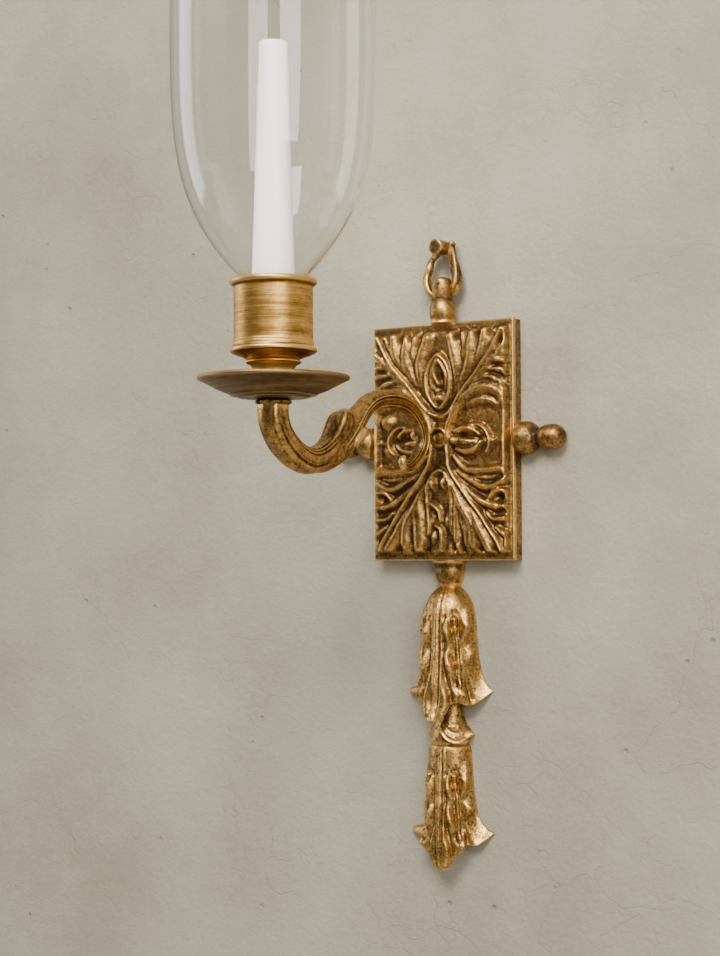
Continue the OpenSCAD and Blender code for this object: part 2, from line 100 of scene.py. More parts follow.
def softened(profile, radius, steps=4, step=0.45):
    """Outline with rounded corners, as points about one step apart."""
    return evenly(rounded(profile, radius, steps), step=step)


def noise(points, size, seed=0):
    """Smooth random value from -1 to 1 at each point, with features of the given size."""
    q = np.asarray(points, float) / size + 57.3 * (seed + 1)
    cell = np.floor(q).astype(np.int64)
    f = q - cell
    f = f * f * (3 - 2 * f)
    total = np.zeros(q.shape[:-1])
    for corner in np.ndindex(*(2,) * q.shape[-1]):
        key = np.zeros(q.shape[:-1], np.int64)
        weight = np.ones(q.shape[:-1])
        for k, step in enumerate(corner):
            key = (key ^ ((cell[..., k] + step) * (73856093, 19349663, 83492791)[k])) & 0x7FFFFFFF
            weight = weight * (f[..., k] if step else 1 - f[..., k])
        key = (key ^ (key >> 13)) * 1274126177 & 0x7FFFFFFF
        key = (key ^ (key >> 16)) * 668265263 & 0x7FFFFFFF
        total += weight * ((key >> 8) % 4096 / 2048.0 - 1)
    return total


def blurred(grid, sigma):
    """Grid of heights smoothed with a bell curve of sigma cells."""
    reach = max(1, int(3 * sigma))
    kernel = np.exp(-0.5 * (np.arange(-reach, reach + 1) / sigma) ** 2)
    kernel /= kernel.sum()
    for axis in (0, 1):
        widths = [(reach, reach) if k == axis else (0, 0) for k in (0, 1)]
        padded = np.pad(grid, widths, mode="edge")
        grid = sum(w * np.take(padded, np.arange(grid.shape[axis]) + k, axis)
                   for k, w in enumerate(kernel))
    return grid


def smooth_max(a, b, soft=0.5):
    return 0.5 * (a + b + np.sqrt((a - b) ** 2 + soft ** 2))


def between(x, lo, hi):
    """0 below lo, rising smoothly to 1 at hi."""
    t = np.clip((x - lo) / (hi - lo), 0, 1)
    return t * t * (3 - 2 * t)


class Relief:
    """Heights in mm, painted stroke by stroke on a grid of points (u, v), also in mm.

    spread widens every stroke, and a side of -1 paints its mirror image."""

    FOOT = -3.0                            # strokes spring from this far below the ground

    def __init__(self, u, v, level=0.0, spread=1.0):
        self.u, self.v, self.spread, self.side = u, v, spread, 1
        self.h = np.zeros(u.shape) + level

    def near(self, route, reach):
        """Cells within reach of a route, their distance from it and how far along it they lie."""
        lo, hi = route.min(0) - reach, route.max(0) + reach
        cells = np.nonzero((self.u > lo[0]) & (self.u < hi[0]) & (self.v > lo[1]) & (self.v < hi[1]))
        u, v = self.u[cells], self.v[cells]
        best, along = np.full(u.shape, 1e9), np.zeros(u.shape)
        for k, (a, b) in enumerate(zip(route, route[1:])):
            d = b - a
            t = np.clip(((u - a[0]) * d[0] + (v - a[1]) * d[1]) / max(d @ d, 1e-9), 0, 1)
            gap = (u - a[0] - t * d[0]) ** 2 + (v - a[1] - t * d[1]) ** 2
            closer = gap < best
            best[closer] = gap[closer]
            along[closer] = ((k + t) / (len(route) - 1))[closer]
        return cells, np.sqrt(best), along

    def stroke(self, points, width, height):
        """Cells on a route, the stroke's cross-section there (1 on the route) and its height.

        width and height are one number, or several from the route's start to its end."""
        route = spline(np.array(points) * (self.side, 1), 5)
        widths, heights = np.atleast_1d(width) * self.spread, np.atleast_1d(height).astype(float)
        cells, gap, along = self.near(route, widths.max())
        w, top = (np.interp(along, np.linspace(0, 1, len(n)), n) for n in (widths, heights))
        return cells, np.clip(1 - (gap / w) ** 2, 0, 1), top

    def ridge(self, points, width, height):
        """Rib along a route, at least this high."""
        cells, cut, top = self.stroke(points, width, height)
        self.h[cells] = smooth_max(self.h[cells], self.FOOT + (top - self.FOOT) * cut, 0.8)

    def swell(self, points, width, height, power=1.6):
        """Soft mound along a route, added to what is there, or a hollow if its height is negative."""
        cells, cut, top = self.stroke(points, width, height)
        self.h[cells] += top * cut ** power

    def oval(self, centre, radii, angle):
        """Distance from the centre of an oval, 1 on its edge."""
        turn = math.radians(angle * self.side)
        c, s = math.cos(turn), math.sin(turn)
        du, dv = self.u - centre[0] * self.side, self.v - centre[1]
        return np.hypot((du * c + dv * s) / radii[0], (dv * c - du * s) / radii[1])

    def dome(self, centre, radii, height, angle=0.0):
        bulge = np.clip(1 - self.oval(centre, radii, angle) ** 2, 0, 1)
        self.h = smooth_max(self.h, self.FOOT + (height - self.FOOT) * bulge)

    def dent(self, centre, radii, depth, angle=0.0):
        self.h -= depth * np.exp(-1.5 * self.oval(centre, radii, angle) ** 2)


# ---------------------------------------------------------------- meshes


def quads(rows, cols, wrap):
    """Faces between the points of neighbouring rings."""
    i, j = np.meshgrid(np.arange(rows - 1), np.arange(cols if wrap else cols - 1), indexing="ij")
    a, b = i * cols + j, i * cols + (j + 1) % cols
    return np.stack([a, b, b + cols, a + cols], -1).reshape(-1, 4).tolist()


def skin(rings, caps=True):
    """Points and faces of a stack of closed rings, with a lid on each end unless caps is off."""
    rings = np.asarray(rings, float)
    rows, cols = rings.shape[:2]
    points = rings.reshape(-1, 3)
    faces = quads(rows, cols, True)
    if caps:
        last = (rows - 1) * cols
        points = np.vstack([points, rings[0].mean(0), rings[-1].mean(0)])
        for k in range(cols):
            n = (k + 1) % cols
            faces.append([rows * cols, n, k])
            faces.append([rows * cols + 1, last + k, last + n])
    return points, faces


def joined(*parts):
    """Several (points, faces) as one."""
    points, faces = [], []
    for p, f in parts:
        base = sum(len(q) for q in points)
        points.append(np.asarray(p, float))
        faces += [[base + k for k in face] for face in f]
    return np.vstack(points), faces


def new_piece(name, node, shape, material, body="root"):
    """Smooth mesh object, in metres, that rides on its CAD body and replaces a CAD node."""
    points, faces = shape
    mesh = bpy.data.meshes.new(name)
    mesh.from_pydata((np.asarray(points) * MM).tolist(), [], faces)
    mesh.validate()
    piece = bpy.data.objects.new(name, mesh)
    bpy.context.scene.collection.objects.link(piece)
    face_outwards(mesh)
    mesh.polygons.foreach_set("use_smooth", [True] * len(mesh.polygons))
    mesh.materials.append(material)
    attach(piece, body)
    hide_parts(node)
    return piece


def face_outwards(mesh):
    """Turns a closed mesh's faces over if they point inwards."""
    count = len(mesh.vertices)
    points = np.empty(count * 3)
    mesh.vertices.foreach_get("co", points)
    points = points.reshape(-1, 3)
    mesh.calc_loop_triangles()
    corners = np.empty(len(mesh.loop_triangles) * 3, np.int32)
    mesh.loop_triangles.foreach_get("vertices", corners)
    a, b, c = points[corners.reshape(-1, 3)].transpose(1, 0, 2)
    if np.einsum("ij,ij->i", a, np.cross(b, c)).sum() < 0:
        mesh.flip_normals()
    mesh.update()


def store_wear_and_shade(piece, rounds, reach, most=0.4):
    """Attribute above 0.5 where the surface stands proud and below 0.5 where it is hollow. The
    materials turn it into colour: darker hollows, as patina and as painted shade, and paler proud
    places, as rubbed gilding and as painted highlight.

    The surface is compared with one smoothed so many rounds; reach is the height in mm that
    counts as clearly proud, and most limits how pale the proud places get."""
    mesh = piece.data
    count = len(mesh.vertices)
    points, normals = np.empty(count * 3), np.empty(count * 3)
    mesh.vertices.foreach_get("co", points)
    mesh.vertices.foreach_get("normal", normals)
    points, normals = points.reshape(-1, 3) / MM, normals.reshape(-1, 3)
    ends = np.empty(len(mesh.edges) * 2, np.int32)
    mesh.edges.foreach_get("vertices", ends)
    a, b = ends[::2], ends[1::2]
    degree = np.maximum(np.bincount(a, minlength=count) + np.bincount(b, minlength=count), 1)
    soft = points.copy()
    for _ in range(rounds):
        pull = np.stack([np.bincount(a, column[b], count) + np.bincount(b, column[a], count)
                         for column in soft.T], 1)
        soft = 0.4 * soft + 0.6 * pull / degree[:, None]
    proud = ((points - soft) * normals).sum(1)
    proud -= np.median(proud)
    values = 0.5 + np.minimum(0.4 * np.tanh(proud / reach), most)
    mesh.attributes.new("wear_and_shade", "FLOAT", "POINT").data.foreach_set("value", values)


def rough_cast(shape, amount, seed):
    """Shape with its points moved a little, as an uneven casting is."""
    points, faces = shape
    shift = np.stack([noise(points, 7.0, seed + k) + 0.5 * noise(points, 2.4, seed + 5 + k)
                      for k in range(3)], -1)
    return points + amount * shift, faces


def casting(name, node, shape, material, rounds, reach, most=0.4):
    """Gilt piece for a CAD node, kept in front of the wall, with its wear and painted shade stored."""
    piece = new_piece(name, node, shape, material)
    for vertex in piece.data.vertices:
        vertex.co.y = min(vertex.co.y, -WALL_GAP)
    store_wear_and_shade(piece, rounds, reach, most)


# ---------------------------------------------------------------- turned and swept forms


def lathe(profile, turns=144, wave=None):
    """Body of revolution on the candle's axis from points of (radius, height).

    A profile that starts and ends on the axis is a solid, and any other is a closed ring."""
    p = np.asarray(profile, float)
    solid = p[0, 0] < 0.01 and p[-1, 0] < 0.01
    if solid:
        p = p[1:-1]
    else:
        p = np.vstack([p, p[:1]])
    angle = np.linspace(0, 2 * math.pi, turns, endpoint=False)
    r = p[:, :1] + (wave(angle[None], p[:, 1:]) if wave else 0 * angle[None])
    rings = np.stack([r * np.cos(angle), AXIS_Y + r * np.sin(angle),
                      np.broadcast_to(p[:, 1:], r.shape)], -1)
    if solid:
        return skin(rings)
    points = rings[:-1].reshape(-1, 3)
    faces = quads(len(rings), turns, True)
    wrapped = len(points)
    return points, [[k % wrapped for k in face] for face in faces]


def half_turned(profile, stand_off, turns=72, shape=None):
    """Rings of a body turned about an axis stand_off in front of the wall and cut flat on it.

    Returns rings of (across, out from the wall, along)."""
    rings = []
    for radius, along in profile:
        meets_wall = radius > stand_off
        end = math.pi - (math.acos(stand_off / radius) if meets_wall else 0.0)
        angle = np.linspace(-end, end, turns, endpoint=meets_wall)
        r = radius + (shape(angle, along) if shape else 0.0) * np.ones(turns)
        out = np.minimum(-stand_off - r * np.cos(angle), 0.0)
        rings.append(np.stack([r * np.sin(angle), out, np.full(turns, along)], -1))
    return np.array(rings)


def turned_across(profile, z, turns):
    """Rings of points about a level axis that runs out from the wall at height z.

    profile lists (radius, y)."""
    a = np.linspace(0, 2 * math.pi, turns, endpoint=False)
    return [np.stack([r * np.cos(a), np.full(turns, y), z + r * np.sin(a)], -1) for r, y in profile]


def tube(route, sides, side_dir, section=None):
    """Closed bar along a route of (x, y, z, radius).

    section(s, a) gives what is added to the radius at share s of the route and angle a, where
    a = 0 is across side_dir and a = pi / 2 points along it."""
    route = np.asarray(route, float)
    p, radius = route[:, :3], route[:, 3:4]
    t = np.gradient(p, axis=0)
    t /= np.linalg.norm(t, axis=1)[:, None]
    out = np.cross(np.asarray(side_dir, float), t)
    out /= np.linalg.norm(out, axis=1)[:, None]
    side = np.cross(t, out)
    a = np.linspace(0, 2 * math.pi, sides, endpoint=False)[None]
    s = np.linspace(0, 1, len(p))[:, None]
    r = radius + (section(s, a) if section else 0.0 * a)
    rings = p[:, None] + r[..., None] * (np.cos(a)[..., None] * out[:, None]
                                         + np.sin(a)[..., None] * side[:, None])
    return skin(rings)


def line(a, at, width, depth):
    """Narrow band of the given depth round angle at, in degrees, on both sides of a tube."""
    off = np.abs(np.abs((np.degrees(a) + 180) % 360 - 180) - at)
    return depth * np.clip(1 - (off / width) ** 2, 0, 1)


# ---------------------------------------------------------------- materials


def new_material(name):
    material = bpy.data.materials.new(name)
    material.use_nodes = True
    material.node_tree.nodes.clear()
    return material, material.node_tree


def add(tree, kind, inputs=None, **settings):
    """New node with its settings and inputs; an input is a value or another node's socket."""
    node = tree.nodes.new(kind)
    for key, value in settings.items():
        setattr(node, key, value)
    for key, value in (inputs or {}).items():
        if isinstance(value, bpy.types.NodeSocket):
            tree.links.new(value, node.inputs[key])
        else:
            node.inputs[key].default_value = value
    return node


def maths(tree, operation, a, b=0.0, c=0.0, clamp=False):
    node = add(tree, "ShaderNodeMath", {0: a, 1: b, 2: c}, operation=operation, use_clamp=clamp)
    return node.outputs[0]


def plus(tree, value, signal, share):
    """The value and a share of the signal."""
    return maths(tree, "MULTIPLY_ADD", signal, share, value)


def nudged(tree, value, signal, share, middle=0.5, clamp=False):
    """The value, raised where the signal is above its middle and lowered where it is below."""
    return maths(tree, "MULTIPLY_ADD", maths(tree, "SUBTRACT", signal, middle), share, value, clamp)


def ramp(tree, factor, stops):
    """Colour ramp; each stop is (position, colour) or (position, grey)."""
    node = add(tree, "ShaderNodeValToRGB", {0: factor})
    elements = node.color_ramp.elements
    while len(elements) < len(stops):
        elements.new(0.5)
    for element, (position, colour) in zip(elements, stops):
        element.position = position
        grey = isinstance(colour, (int, float))
        element.color = (colour, colour, colour, 1) if grey else (*colour, 1)
    return node.outputs[0]


def speckle(tree, scale, detail=5.0, roughness=0.6, stretch=(1, 1, 1)):
    """Noise from 0 to 1 over the object's own coordinates, in metres."""
    where = add(tree, "ShaderNodeTexCoord").outputs["Object"]
    placed = add(tree, "ShaderNodeMapping", {"Vector": where, "Scale": stretch}).outputs[0]
    return add(tree, "ShaderNodeTexNoise", {"Vector": placed, "Scale": scale, "Detail": detail,
                                            "Roughness": roughness}).outputs[0]


def surface(tree, inputs, height=None, bump=0.0002):
    """Principled surface, with a bump from a height of 0 to 1 that is bump metres deep."""
    inputs = dict(inputs)
    if height is not None:
        inputs["Normal"] = add(tree, "ShaderNodeBump", {"Strength": 1.0, "Distance": bump,
                                                        "Height": height}).outputs[0]
    shader = add(tree, "ShaderNodeBsdfPrincipled", inputs)
    add(tree, "ShaderNodeOutputMaterial", {"Surface": shader.outputs[0]})


def partly_clear(tree, shader, mask, tint=(1, 1, 1, 1)):
    """Surface that shows the shader, and lets light through where the mask is 1."""
    clear = add(tree, "ShaderNodeBsdfTransparent", {"Color": tint})
    mix = add(tree, "ShaderNodeMixShader", {0: mask, 1: shader.outputs[0], 2: clear.outputs[0]})
    add(tree, "ShaderNodeOutputMaterial", {"Surface": mix.outputs[0]})


UMBER = (0.020, 0.011, 0.005)
BROWN = (0.088, 0.049, 0.019)
OLD_GOLD = (0.340, 0.183, 0.052)
GOLD = (0.700, 0.405, 0.118)
PALE_GOLD = (0.930, 0.640, 0.290)


def gilt_material(name, shade=0.0, uses_wear_and_shade=True, grit=0.17):
    """Gilt casting: dark in its hollows, as patina and painted shade, golden on its faces, and pale on proud
    places, as rubbed gilding and painted highlight.
    """
    material, tree = new_material(name)
    wear_and_shade = add(tree, "ShaderNodeAttribute", attribute_name="wear_and_shade").outputs["Fac"] if uses_wear_and_shade else 0.52
    clouds = speckle(tree, 60.0, 4.0)
    patches = speckle(tree, 300.0, 6.0, 0.66)
    grains = ramp(tree, speckle(tree, 760.0, 3.0, 0.62), [(0.36, 0.0), (0.52, 0.7), (0.72, 1.0)])
    # hollows darker, as patina and painted shade; proud places paler, as rubbing and painted highlight
    value = nudged(tree, 0.44 - shade, wear_and_shade, 0.82)
    value = nudged(tree, value, clouds, 0.36)
    value = nudged(tree, value, patches, 0.72)
    value = nudged(tree, value, grains, grit, 0.62, clamp=True)
    colour = ramp(tree, value, [(0.10, UMBER), (0.27, BROWN), (0.44, OLD_GOLD), (0.66, GOLD),
                                (0.95, PALE_GOLD)])
    metal = ramp(tree, value, [(0.10, 0.5), (0.30, 1.0)])
    rough = ramp(tree, plus(tree, value, patches, 0.25), [(0.2, 0.58), (0.5, 0.41), (0.9, 0.30)])
    surface(tree, {"Base Color": colour, "Metallic": metal, "Roughness": rough},
            plus(tree, patches, grains, 0.20), 0.00028)
    return material


def turned_material(name, tones, rough=(0.30, 0.46), lines=0.00012, mottle=0.5):
    """Turned and brushed gilt brass: fine lines run round it, broken up by darker patches; hollows are
    darker and proud rings paler, as wear and as painted shade and highlight.
    """
    material, tree = new_material(name)
    wear_and_shade = add(tree, "ShaderNodeAttribute", attribute_name="wear_and_shade").outputs["Fac"]
    fine = speckle(tree, 30.0, 6.0, 0.7, (1, 1, 75))
    broad = speckle(tree, 22.0, 4.0, 0.6, (1, 1, 14))
    patches = speckle(tree, 260.0, 6.0, 0.65)
    # starts from the relief attribute: painted shade in hollows and painted highlight on proud rings,
    # besides wear
    value = nudged(tree, wear_and_shade, fine, mottle)
    value = nudged(tree, value, broad, mottle)
    value = nudged(tree, value, patches, mottle * 0.5, clamp=True)
    colour = ramp(tree, value, tones)
    height = plus(tree, fine, patches, 0.3)
    roughness = ramp(tree, height, [(0.3, rough[1]), (0.9, rough[0])])
    surface(tree, {"Base Color": colour, "Metallic": 1.0, "Roughness": roughness,
                   "Anisotropic": 0.3}, height, lines)
    return material


def steel_material():
    material, tree = new_material("zinc_plated_steel")
    fine = speckle(tree, 600.0, 5.0)
    clouds = speckle(tree, 90.0, 3.0)
    colour = ramp(tree, clouds, [(0.3, (0.42, 0.42, 0.41)), (0.7, (0.60, 0.60, 0.58))])
    rough = ramp(tree, fine, [(0.3, 0.5), (0.8, 0.3)])
    surface(tree, {"Base Color": colour, "Metallic": 1.0, "Roughness": rough}, fine, 0.0001)
    return material


def felt_material():
    material, tree = new_material("brown_felt")
    fibres = speckle(tree, 2600.0, 6.0, 0.8)
    colour = ramp(tree, fibres, [(0.3, (0.07, 0.035, 0.02)), (0.7, (0.19, 0.10, 0.055))])
    surface(tree, {"Base Color": colour, "Roughness": 0.95, "Sheen Weight": 0.4}, fibres, 0.0004)
    return material


def wax_material():
    """Off-white wax: faintly cloudy, with light going a little way in."""
    material, tree = new_material("wax")
    clouds = speckle(tree, 25.0, 4.0, 0.5, (1, 1, 0.3))
    fine = speckle(tree, 500.0, 4.0)
    colour = ramp(tree, clouds, [(0.3, (0.84, 0.795, 0.755)), (0.7, (0.92, 0.89, 0.86))])
    rough = ramp(tree, fine, [(0.3, 0.5), (0.7, 0.36)])
    surface(tree, {"Base Color": colour, "Roughness": rough, "Subsurface Weight": 0.35,
                   "Subsurface Radius": (0.006, 0.004, 0.003), "Subsurface Scale": 1.0,
                   "Coat Weight": 0.1, "Coat Roughness": 0.3}, fine, 0.00006)
    return material


def wick_material():
    material, tree = new_material("cotton_wick")
    plait = speckle(tree, 900.0, 3.0, 0.6, (1, 1, 0.5))
    colour = ramp(tree, plait, [(0.3, (0.45, 0.40, 0.32)), (0.7, (0.80, 0.76, 0.68))])
    surface(tree, {"Base Color": colour, "Roughness": 0.9}, plait, 0.0003)
    return material


def glass_material():
    """Clear blown glass with faint waves; lamps shine through it."""
    material, tree = new_material("blown_glass")
    waves = speckle(tree, 9.0, 2.0, 0.4, (1, 1, 0.35))
    seeds = speckle(tree, 240.0, 2.0)
    rough = ramp(tree, seeds, [(0.55, 0.0), (0.9, 0.02)])
    bump = add(tree, "ShaderNodeBump", {"Strength": 0.25, "Distance": 0.004, "Height": waves})
    shader = add(tree, "ShaderNodeBsdfPrincipled", {
        "Base Color": (0.985, 0.99, 0.985, 1), "Roughness": rough, "IOR": 1.47,
        "Transmission Weight": 1.0, "Normal": bump.outputs[0]})
    ray = add(tree, "ShaderNodeLightPath").outputs["Is Shadow Ray"]
    partly_clear(tree, shader, ray, (0.95, 0.96, 0.95, 1))
    return material


def plaster_material():
    """Trowelled lime plaster, seen from the room only."""
    material, tree = new_material("plaster")
    clouds = speckle(tree, 3.6, 6.0, 0.62)
    strokes = speckle(tree, 8.0, 9.0, 0.60)
    combed = speckle(tree, 90.0, 5.0, 0.6, (1, 1, 0.3))
    sand = speckle(tree, 330.0, 4.0, 0.65)
    where = add(tree, "ShaderNodeTexCoord").outputs["Object"]
    pits = add(tree, "ShaderNodeTexVoronoi", {"Vector": where, "Scale": 30.0, "Randomness": 1.0})
    pit = ramp(tree, plus(tree, pits.outputs[0], sand, 0.06), [(0.05, 0.0), (0.09, 1.0)])
    cloudy = add(tree, "ShaderNodeTexNoise", {"Vector": where, "Scale": 5.0, "Detail": 5.0}).outputs[1]
    bent = add(tree, "ShaderNodeVectorMath", {0: where, 1: cloudy}, operation="ADD").outputs[0]
    cells = add(tree, "ShaderNodeTexVoronoi", {"Vector": bent, "Scale": 3.4}, feature="DISTANCE_TO_EDGE")
    seam = ramp(tree, plus(tree, cells.outputs[0], strokes, 0.02), [(0.008, 0.0), (0.016, 1.0)])
    tone = plus(tree, maths(tree, "MULTIPLY", clouds, 0.5), strokes, 0.5)
    tone = nudged(tree, tone, sand, 0.16)
    tone = nudged(tree, tone, seam, 0.05, 1.0)
    colour = ramp(tree, tone, [(0.30, (0.285, 0.250, 0.176)), (0.50, (0.387, 0.345, 0.254)),
                               (0.68, (0.478, 0.434, 0.328))])
    height = strokes
    for signal, share in ((sand, 0.10), (combed, 0.10), (pit, 0.20), (seam, 0.04)):
        height = plus(tree, height, signal, share)
    bump = add(tree, "ShaderNodeBump", {"Strength": 1.0, "Distance": 0.006, "Height": height})
    shader = add(tree, "ShaderNodeBsdfPrincipled", {
        "Base Color": colour, "Roughness": 0.9, "Normal": bump.outputs[0]})
    partly_clear(tree, shader, add(tree, "ShaderNodeNewGeometry").outputs["Backfacing"])
    return material


def floor_material():
    material, tree = new_material("pale_floor")
    clouds = speckle(tree, 4.0, 4.0)
    colour = ramp(tree, clouds, [(0.3, (0.60, 0.59, 0.57)), (0.7, (0.66, 0.65, 0.63))])
    surface(tree, {"Base Color": colour, "Roughness": 0.8})
    return material


GILT = gilt_material("gilt_bronze")
GILT_RUBBED = gilt_material("gilt_bronze_rubbed", shade=-0.10, grit=0.36)
GILT_PLAIN = gilt_material("gilt_bronze_edges", shade=0.04, uses_wear_and_shade=False)
CUP_TONES = [(0.18, (0.11, 0.052, 0.012)), (0.40, (0.42, 0.222, 0.050)), (0.60, (0.70, 0.400, 0.108)),
             (0.85, (0.82, 0.500, 0.170))]
# the foot's tones are brighter and more orange than the cup's: its gilt colour with a painted reflection on
# top
FOOT_TONES_WITH_REFLECTION = [(0.10, (0.80, 0.46, 0.11)), (0.60, (0.95, 0.62, 0.20))]
PAN_TONES = [(0.20, (0.040, 0.023, 0.008)), (0.45, (0.108, 0.064, 0.021)), (0.68, (0.21, 0.128, 0.045)),
             (0.90, (0.38, 0.245, 0.100))]
TURNED = turned_material("brushed_gilt", CUP_TONES, mottle=0.85)
# gilt for the cup's foot, brightened as a painted reflection
FOOT = turned_material("gilt_with_painted_reflection", FOOT_TONES_WITH_REFLECTION, (0.40, 0.55))
PAN = turned_material("dark_gilt", PAN_TONES, (0.32, 0.5), 0.0002, 0.95)
STEEL = steel_material()
FELT = felt_material()
WAX = wax_material()
WICK = wick_material()
GLASS = glass_material()

# ---------------------------------------------------------------- back plate


PLATE_EDGE = 0.7                           # radius of the plate's rounded edge
RELIEF_W, RELIEF_H = 49.8, 70.8            # half width and height of the relief inside its flat rim
RELIEF_STEP = 0.4                          # distance between the relief's points
BROAD, CRISP, FINE = 2.0, 1.5, 1.4         # breadth of the strokes in the flutes, the lobes and the buds


def paint_top_fan(r):
    """Fan of flutes above the boss, inside a V-shaped rib."""
    for r.side, lower in ((1, 0), (-1, 0.4)):
        r.spread = FINE
        r.ridge([(0, 15), (6, 17), (11, 22), (16, 28.5), (22, 35), (30, 44), (38, 55), (44, 65), (46, 69)],
                2.2, [3.5, 6.5, 6.6, 5.4])
        r.spread = BROAD
        r.ridge([(12, 17.5), (19, 26), (25, 34), (32, 42), (39, 50), (46, 54)], [1.6, 2.6, 3], [3, 6, 5])
        r.ridge([(10, 27), (13, 37), (13.5, 47), (11.5, 56), (9.5, 65)], [2, 3.6, 3.8], [2.5, 6, 5.6])
        r.ridge([(16, 40), (18, 50), (19, 58), (18, 66)], [1.3, 2.2, 2], [2.5, 5, 5])
        r.ridge([(14, 29), (18, 38), (22.5, 48), (24, 57), (23, 65)], [2, 4, 4], [3, 6.4, 6])
        r.ridge([(20, 37), (26, 45), (31, 54), (33, 62), (34, 68)], [1.8, 3.4, 3.4], [3, 6, 5.6])
        r.ridge([(31, 52), (36, 60), (38.5, 67)], [1.4, 2.4, 2.4], [3, 5, 5])
        for x, z, across, up, h in ((8, 65.5, 4.6, 5, 6), (18, 67, 3, 3.6, 5), (24, 66.5, 4, 4.4, 6),
                                    (33, 67, 3.6, 3.8, 5.6), (41, 67, 3.2, 3.6, 5.2)):
            r.dome((x, z), (across, up), h - lower)
        # bud: outline and leaf halves
        r.spread = FINE
        r.ridge([(0, 54.5), (5, 50), (8.4, 43), (8.8, 36), (7, 28), (3, 22.5), (0, 21)], 2.0,
                [5.6, 5.8, 5.4])
        r.ridge([(0.4, 51), (3.6, 46), (5.8, 40), (5.4, 34)], 1.7, [5.6, 5.6, 4])
        r.spread = BROAD
        for x in (13.4, 21.4, 28.6, 37.4):
            r.dent((x, 67.5), (1.8, 4.6), 4.4, -8)
    # the bud's kernel
    r.side = 1
    r.dent((0, 38), (3, 6.5), 3.4)
    r.dome((0.3, 27.5), (4.6, 6.4), 7)
    r.swell([(0.6, 33), (0.2, 24)], 0.9, -1.6, 1)
    r.ridge([(-2.6, 46), (-3.2, 41), (-1.2, 36)], 1.3, [4, 4.6, 3])


def paint_bottom_fan(r):
    """Fan below the boss; its rib runs up beside the boss."""
    for r.side in (1, -1):
        r.spread = FINE
        r.ridge([(6.5, 12), (5.6, 4), (6, -6), (8, -16), (13, -24), (20, -33), (28, -43), (36, -54),
                 (42, -63), (45, -69)], [2.0, 2.2, 2.2], [4.5, 6.5, 6.4, 5.4])
        r.spread = BROAD
        r.ridge([(5, -20), (10, -28), (15, -37), (20, -46), (24, -54), (25.5, -63)], [1.8, 3.4, 3.6],
                [3, 6.2, 6])
        r.ridge([(17, -34), (24, -45), (29, -54), (34, -62), (38, -68)], [2, 3.6, 3.6], [3, 6.2, 5.8])
        for x, z, across, up, h in ((25.5, -65.5, 3.8, 4.4, 6), (36, -66.5, 4, 4.2, 6),
                                    (20.5, -65, 2.6, 3.6, 5)):
            r.dome((x, z), (across, up), h)
    r.side = 1
    r.ridge([(13, -40), (17, -51), (20, -58), (21, -65)], [1.6, 2.8, 3], [3, 5.4, 5])
    r.ridge([(-12.5, -25), (-15, -35), (-15.5, -45), (-15, -55), (-15, -66)], [2.4, 4.4, 4.6],
            [3, 6.4, 6])
    r.dome((-15, -66), (4.4, 4.6), 6)
    for x in (-31, -20.5, -9.6, 10, 17.4, 30.6, 41):
        r.dent((x, -68), (1.8, 4.4), 4.4, 0.6 * x)
    r.dome((-36, -62), (5.6, 6), 5.6)
    r.dome((14, -66), (3.8, 4.4), 5.2)
    r.ridge([(9.5, -28), (12, -38), (12.5, -50), (12.5, -62)], [1.4, 2.4, 2.6], [3, 5, 4.6])
    # arch over the bud and the bud's curled leaves
    r.spread = FINE
    for r.side in (1, -1):
        r.ridge([(0, -18), (4.6, -20.5), (7.6, -27), (8.6, -36), (8.4, -46), (8.8, -58)], 1.8,
                [5, 5.4, 4.4])
    r.side = 1
    r.dome((-4.6, -27), (3.4, 7.2), 6.8, 6)
    r.dome((3.6, -26.5), (3, 7.6), 6.6, -5)
    r.ridge([(-8.6, -38.5), (-4, -40.5), (-0.4, -44.5), (0.6, -50)], [1.6, 2.4, 1.8], [5, 6.2, 5])
    r.ridge([(-3.4, -53), (0.8, -55), (2, -61), (1.2, -68.5)], [1.6, 2.4, 2.2], [5, 5.6, 4.6])
    r.dent((-4, -46), (3.4, 4), 2.4)
    r.dome((5.4, -50), (3, 9), 4.6)
    r.dome((-5, -60), (3.4, 6.5), 4.4)


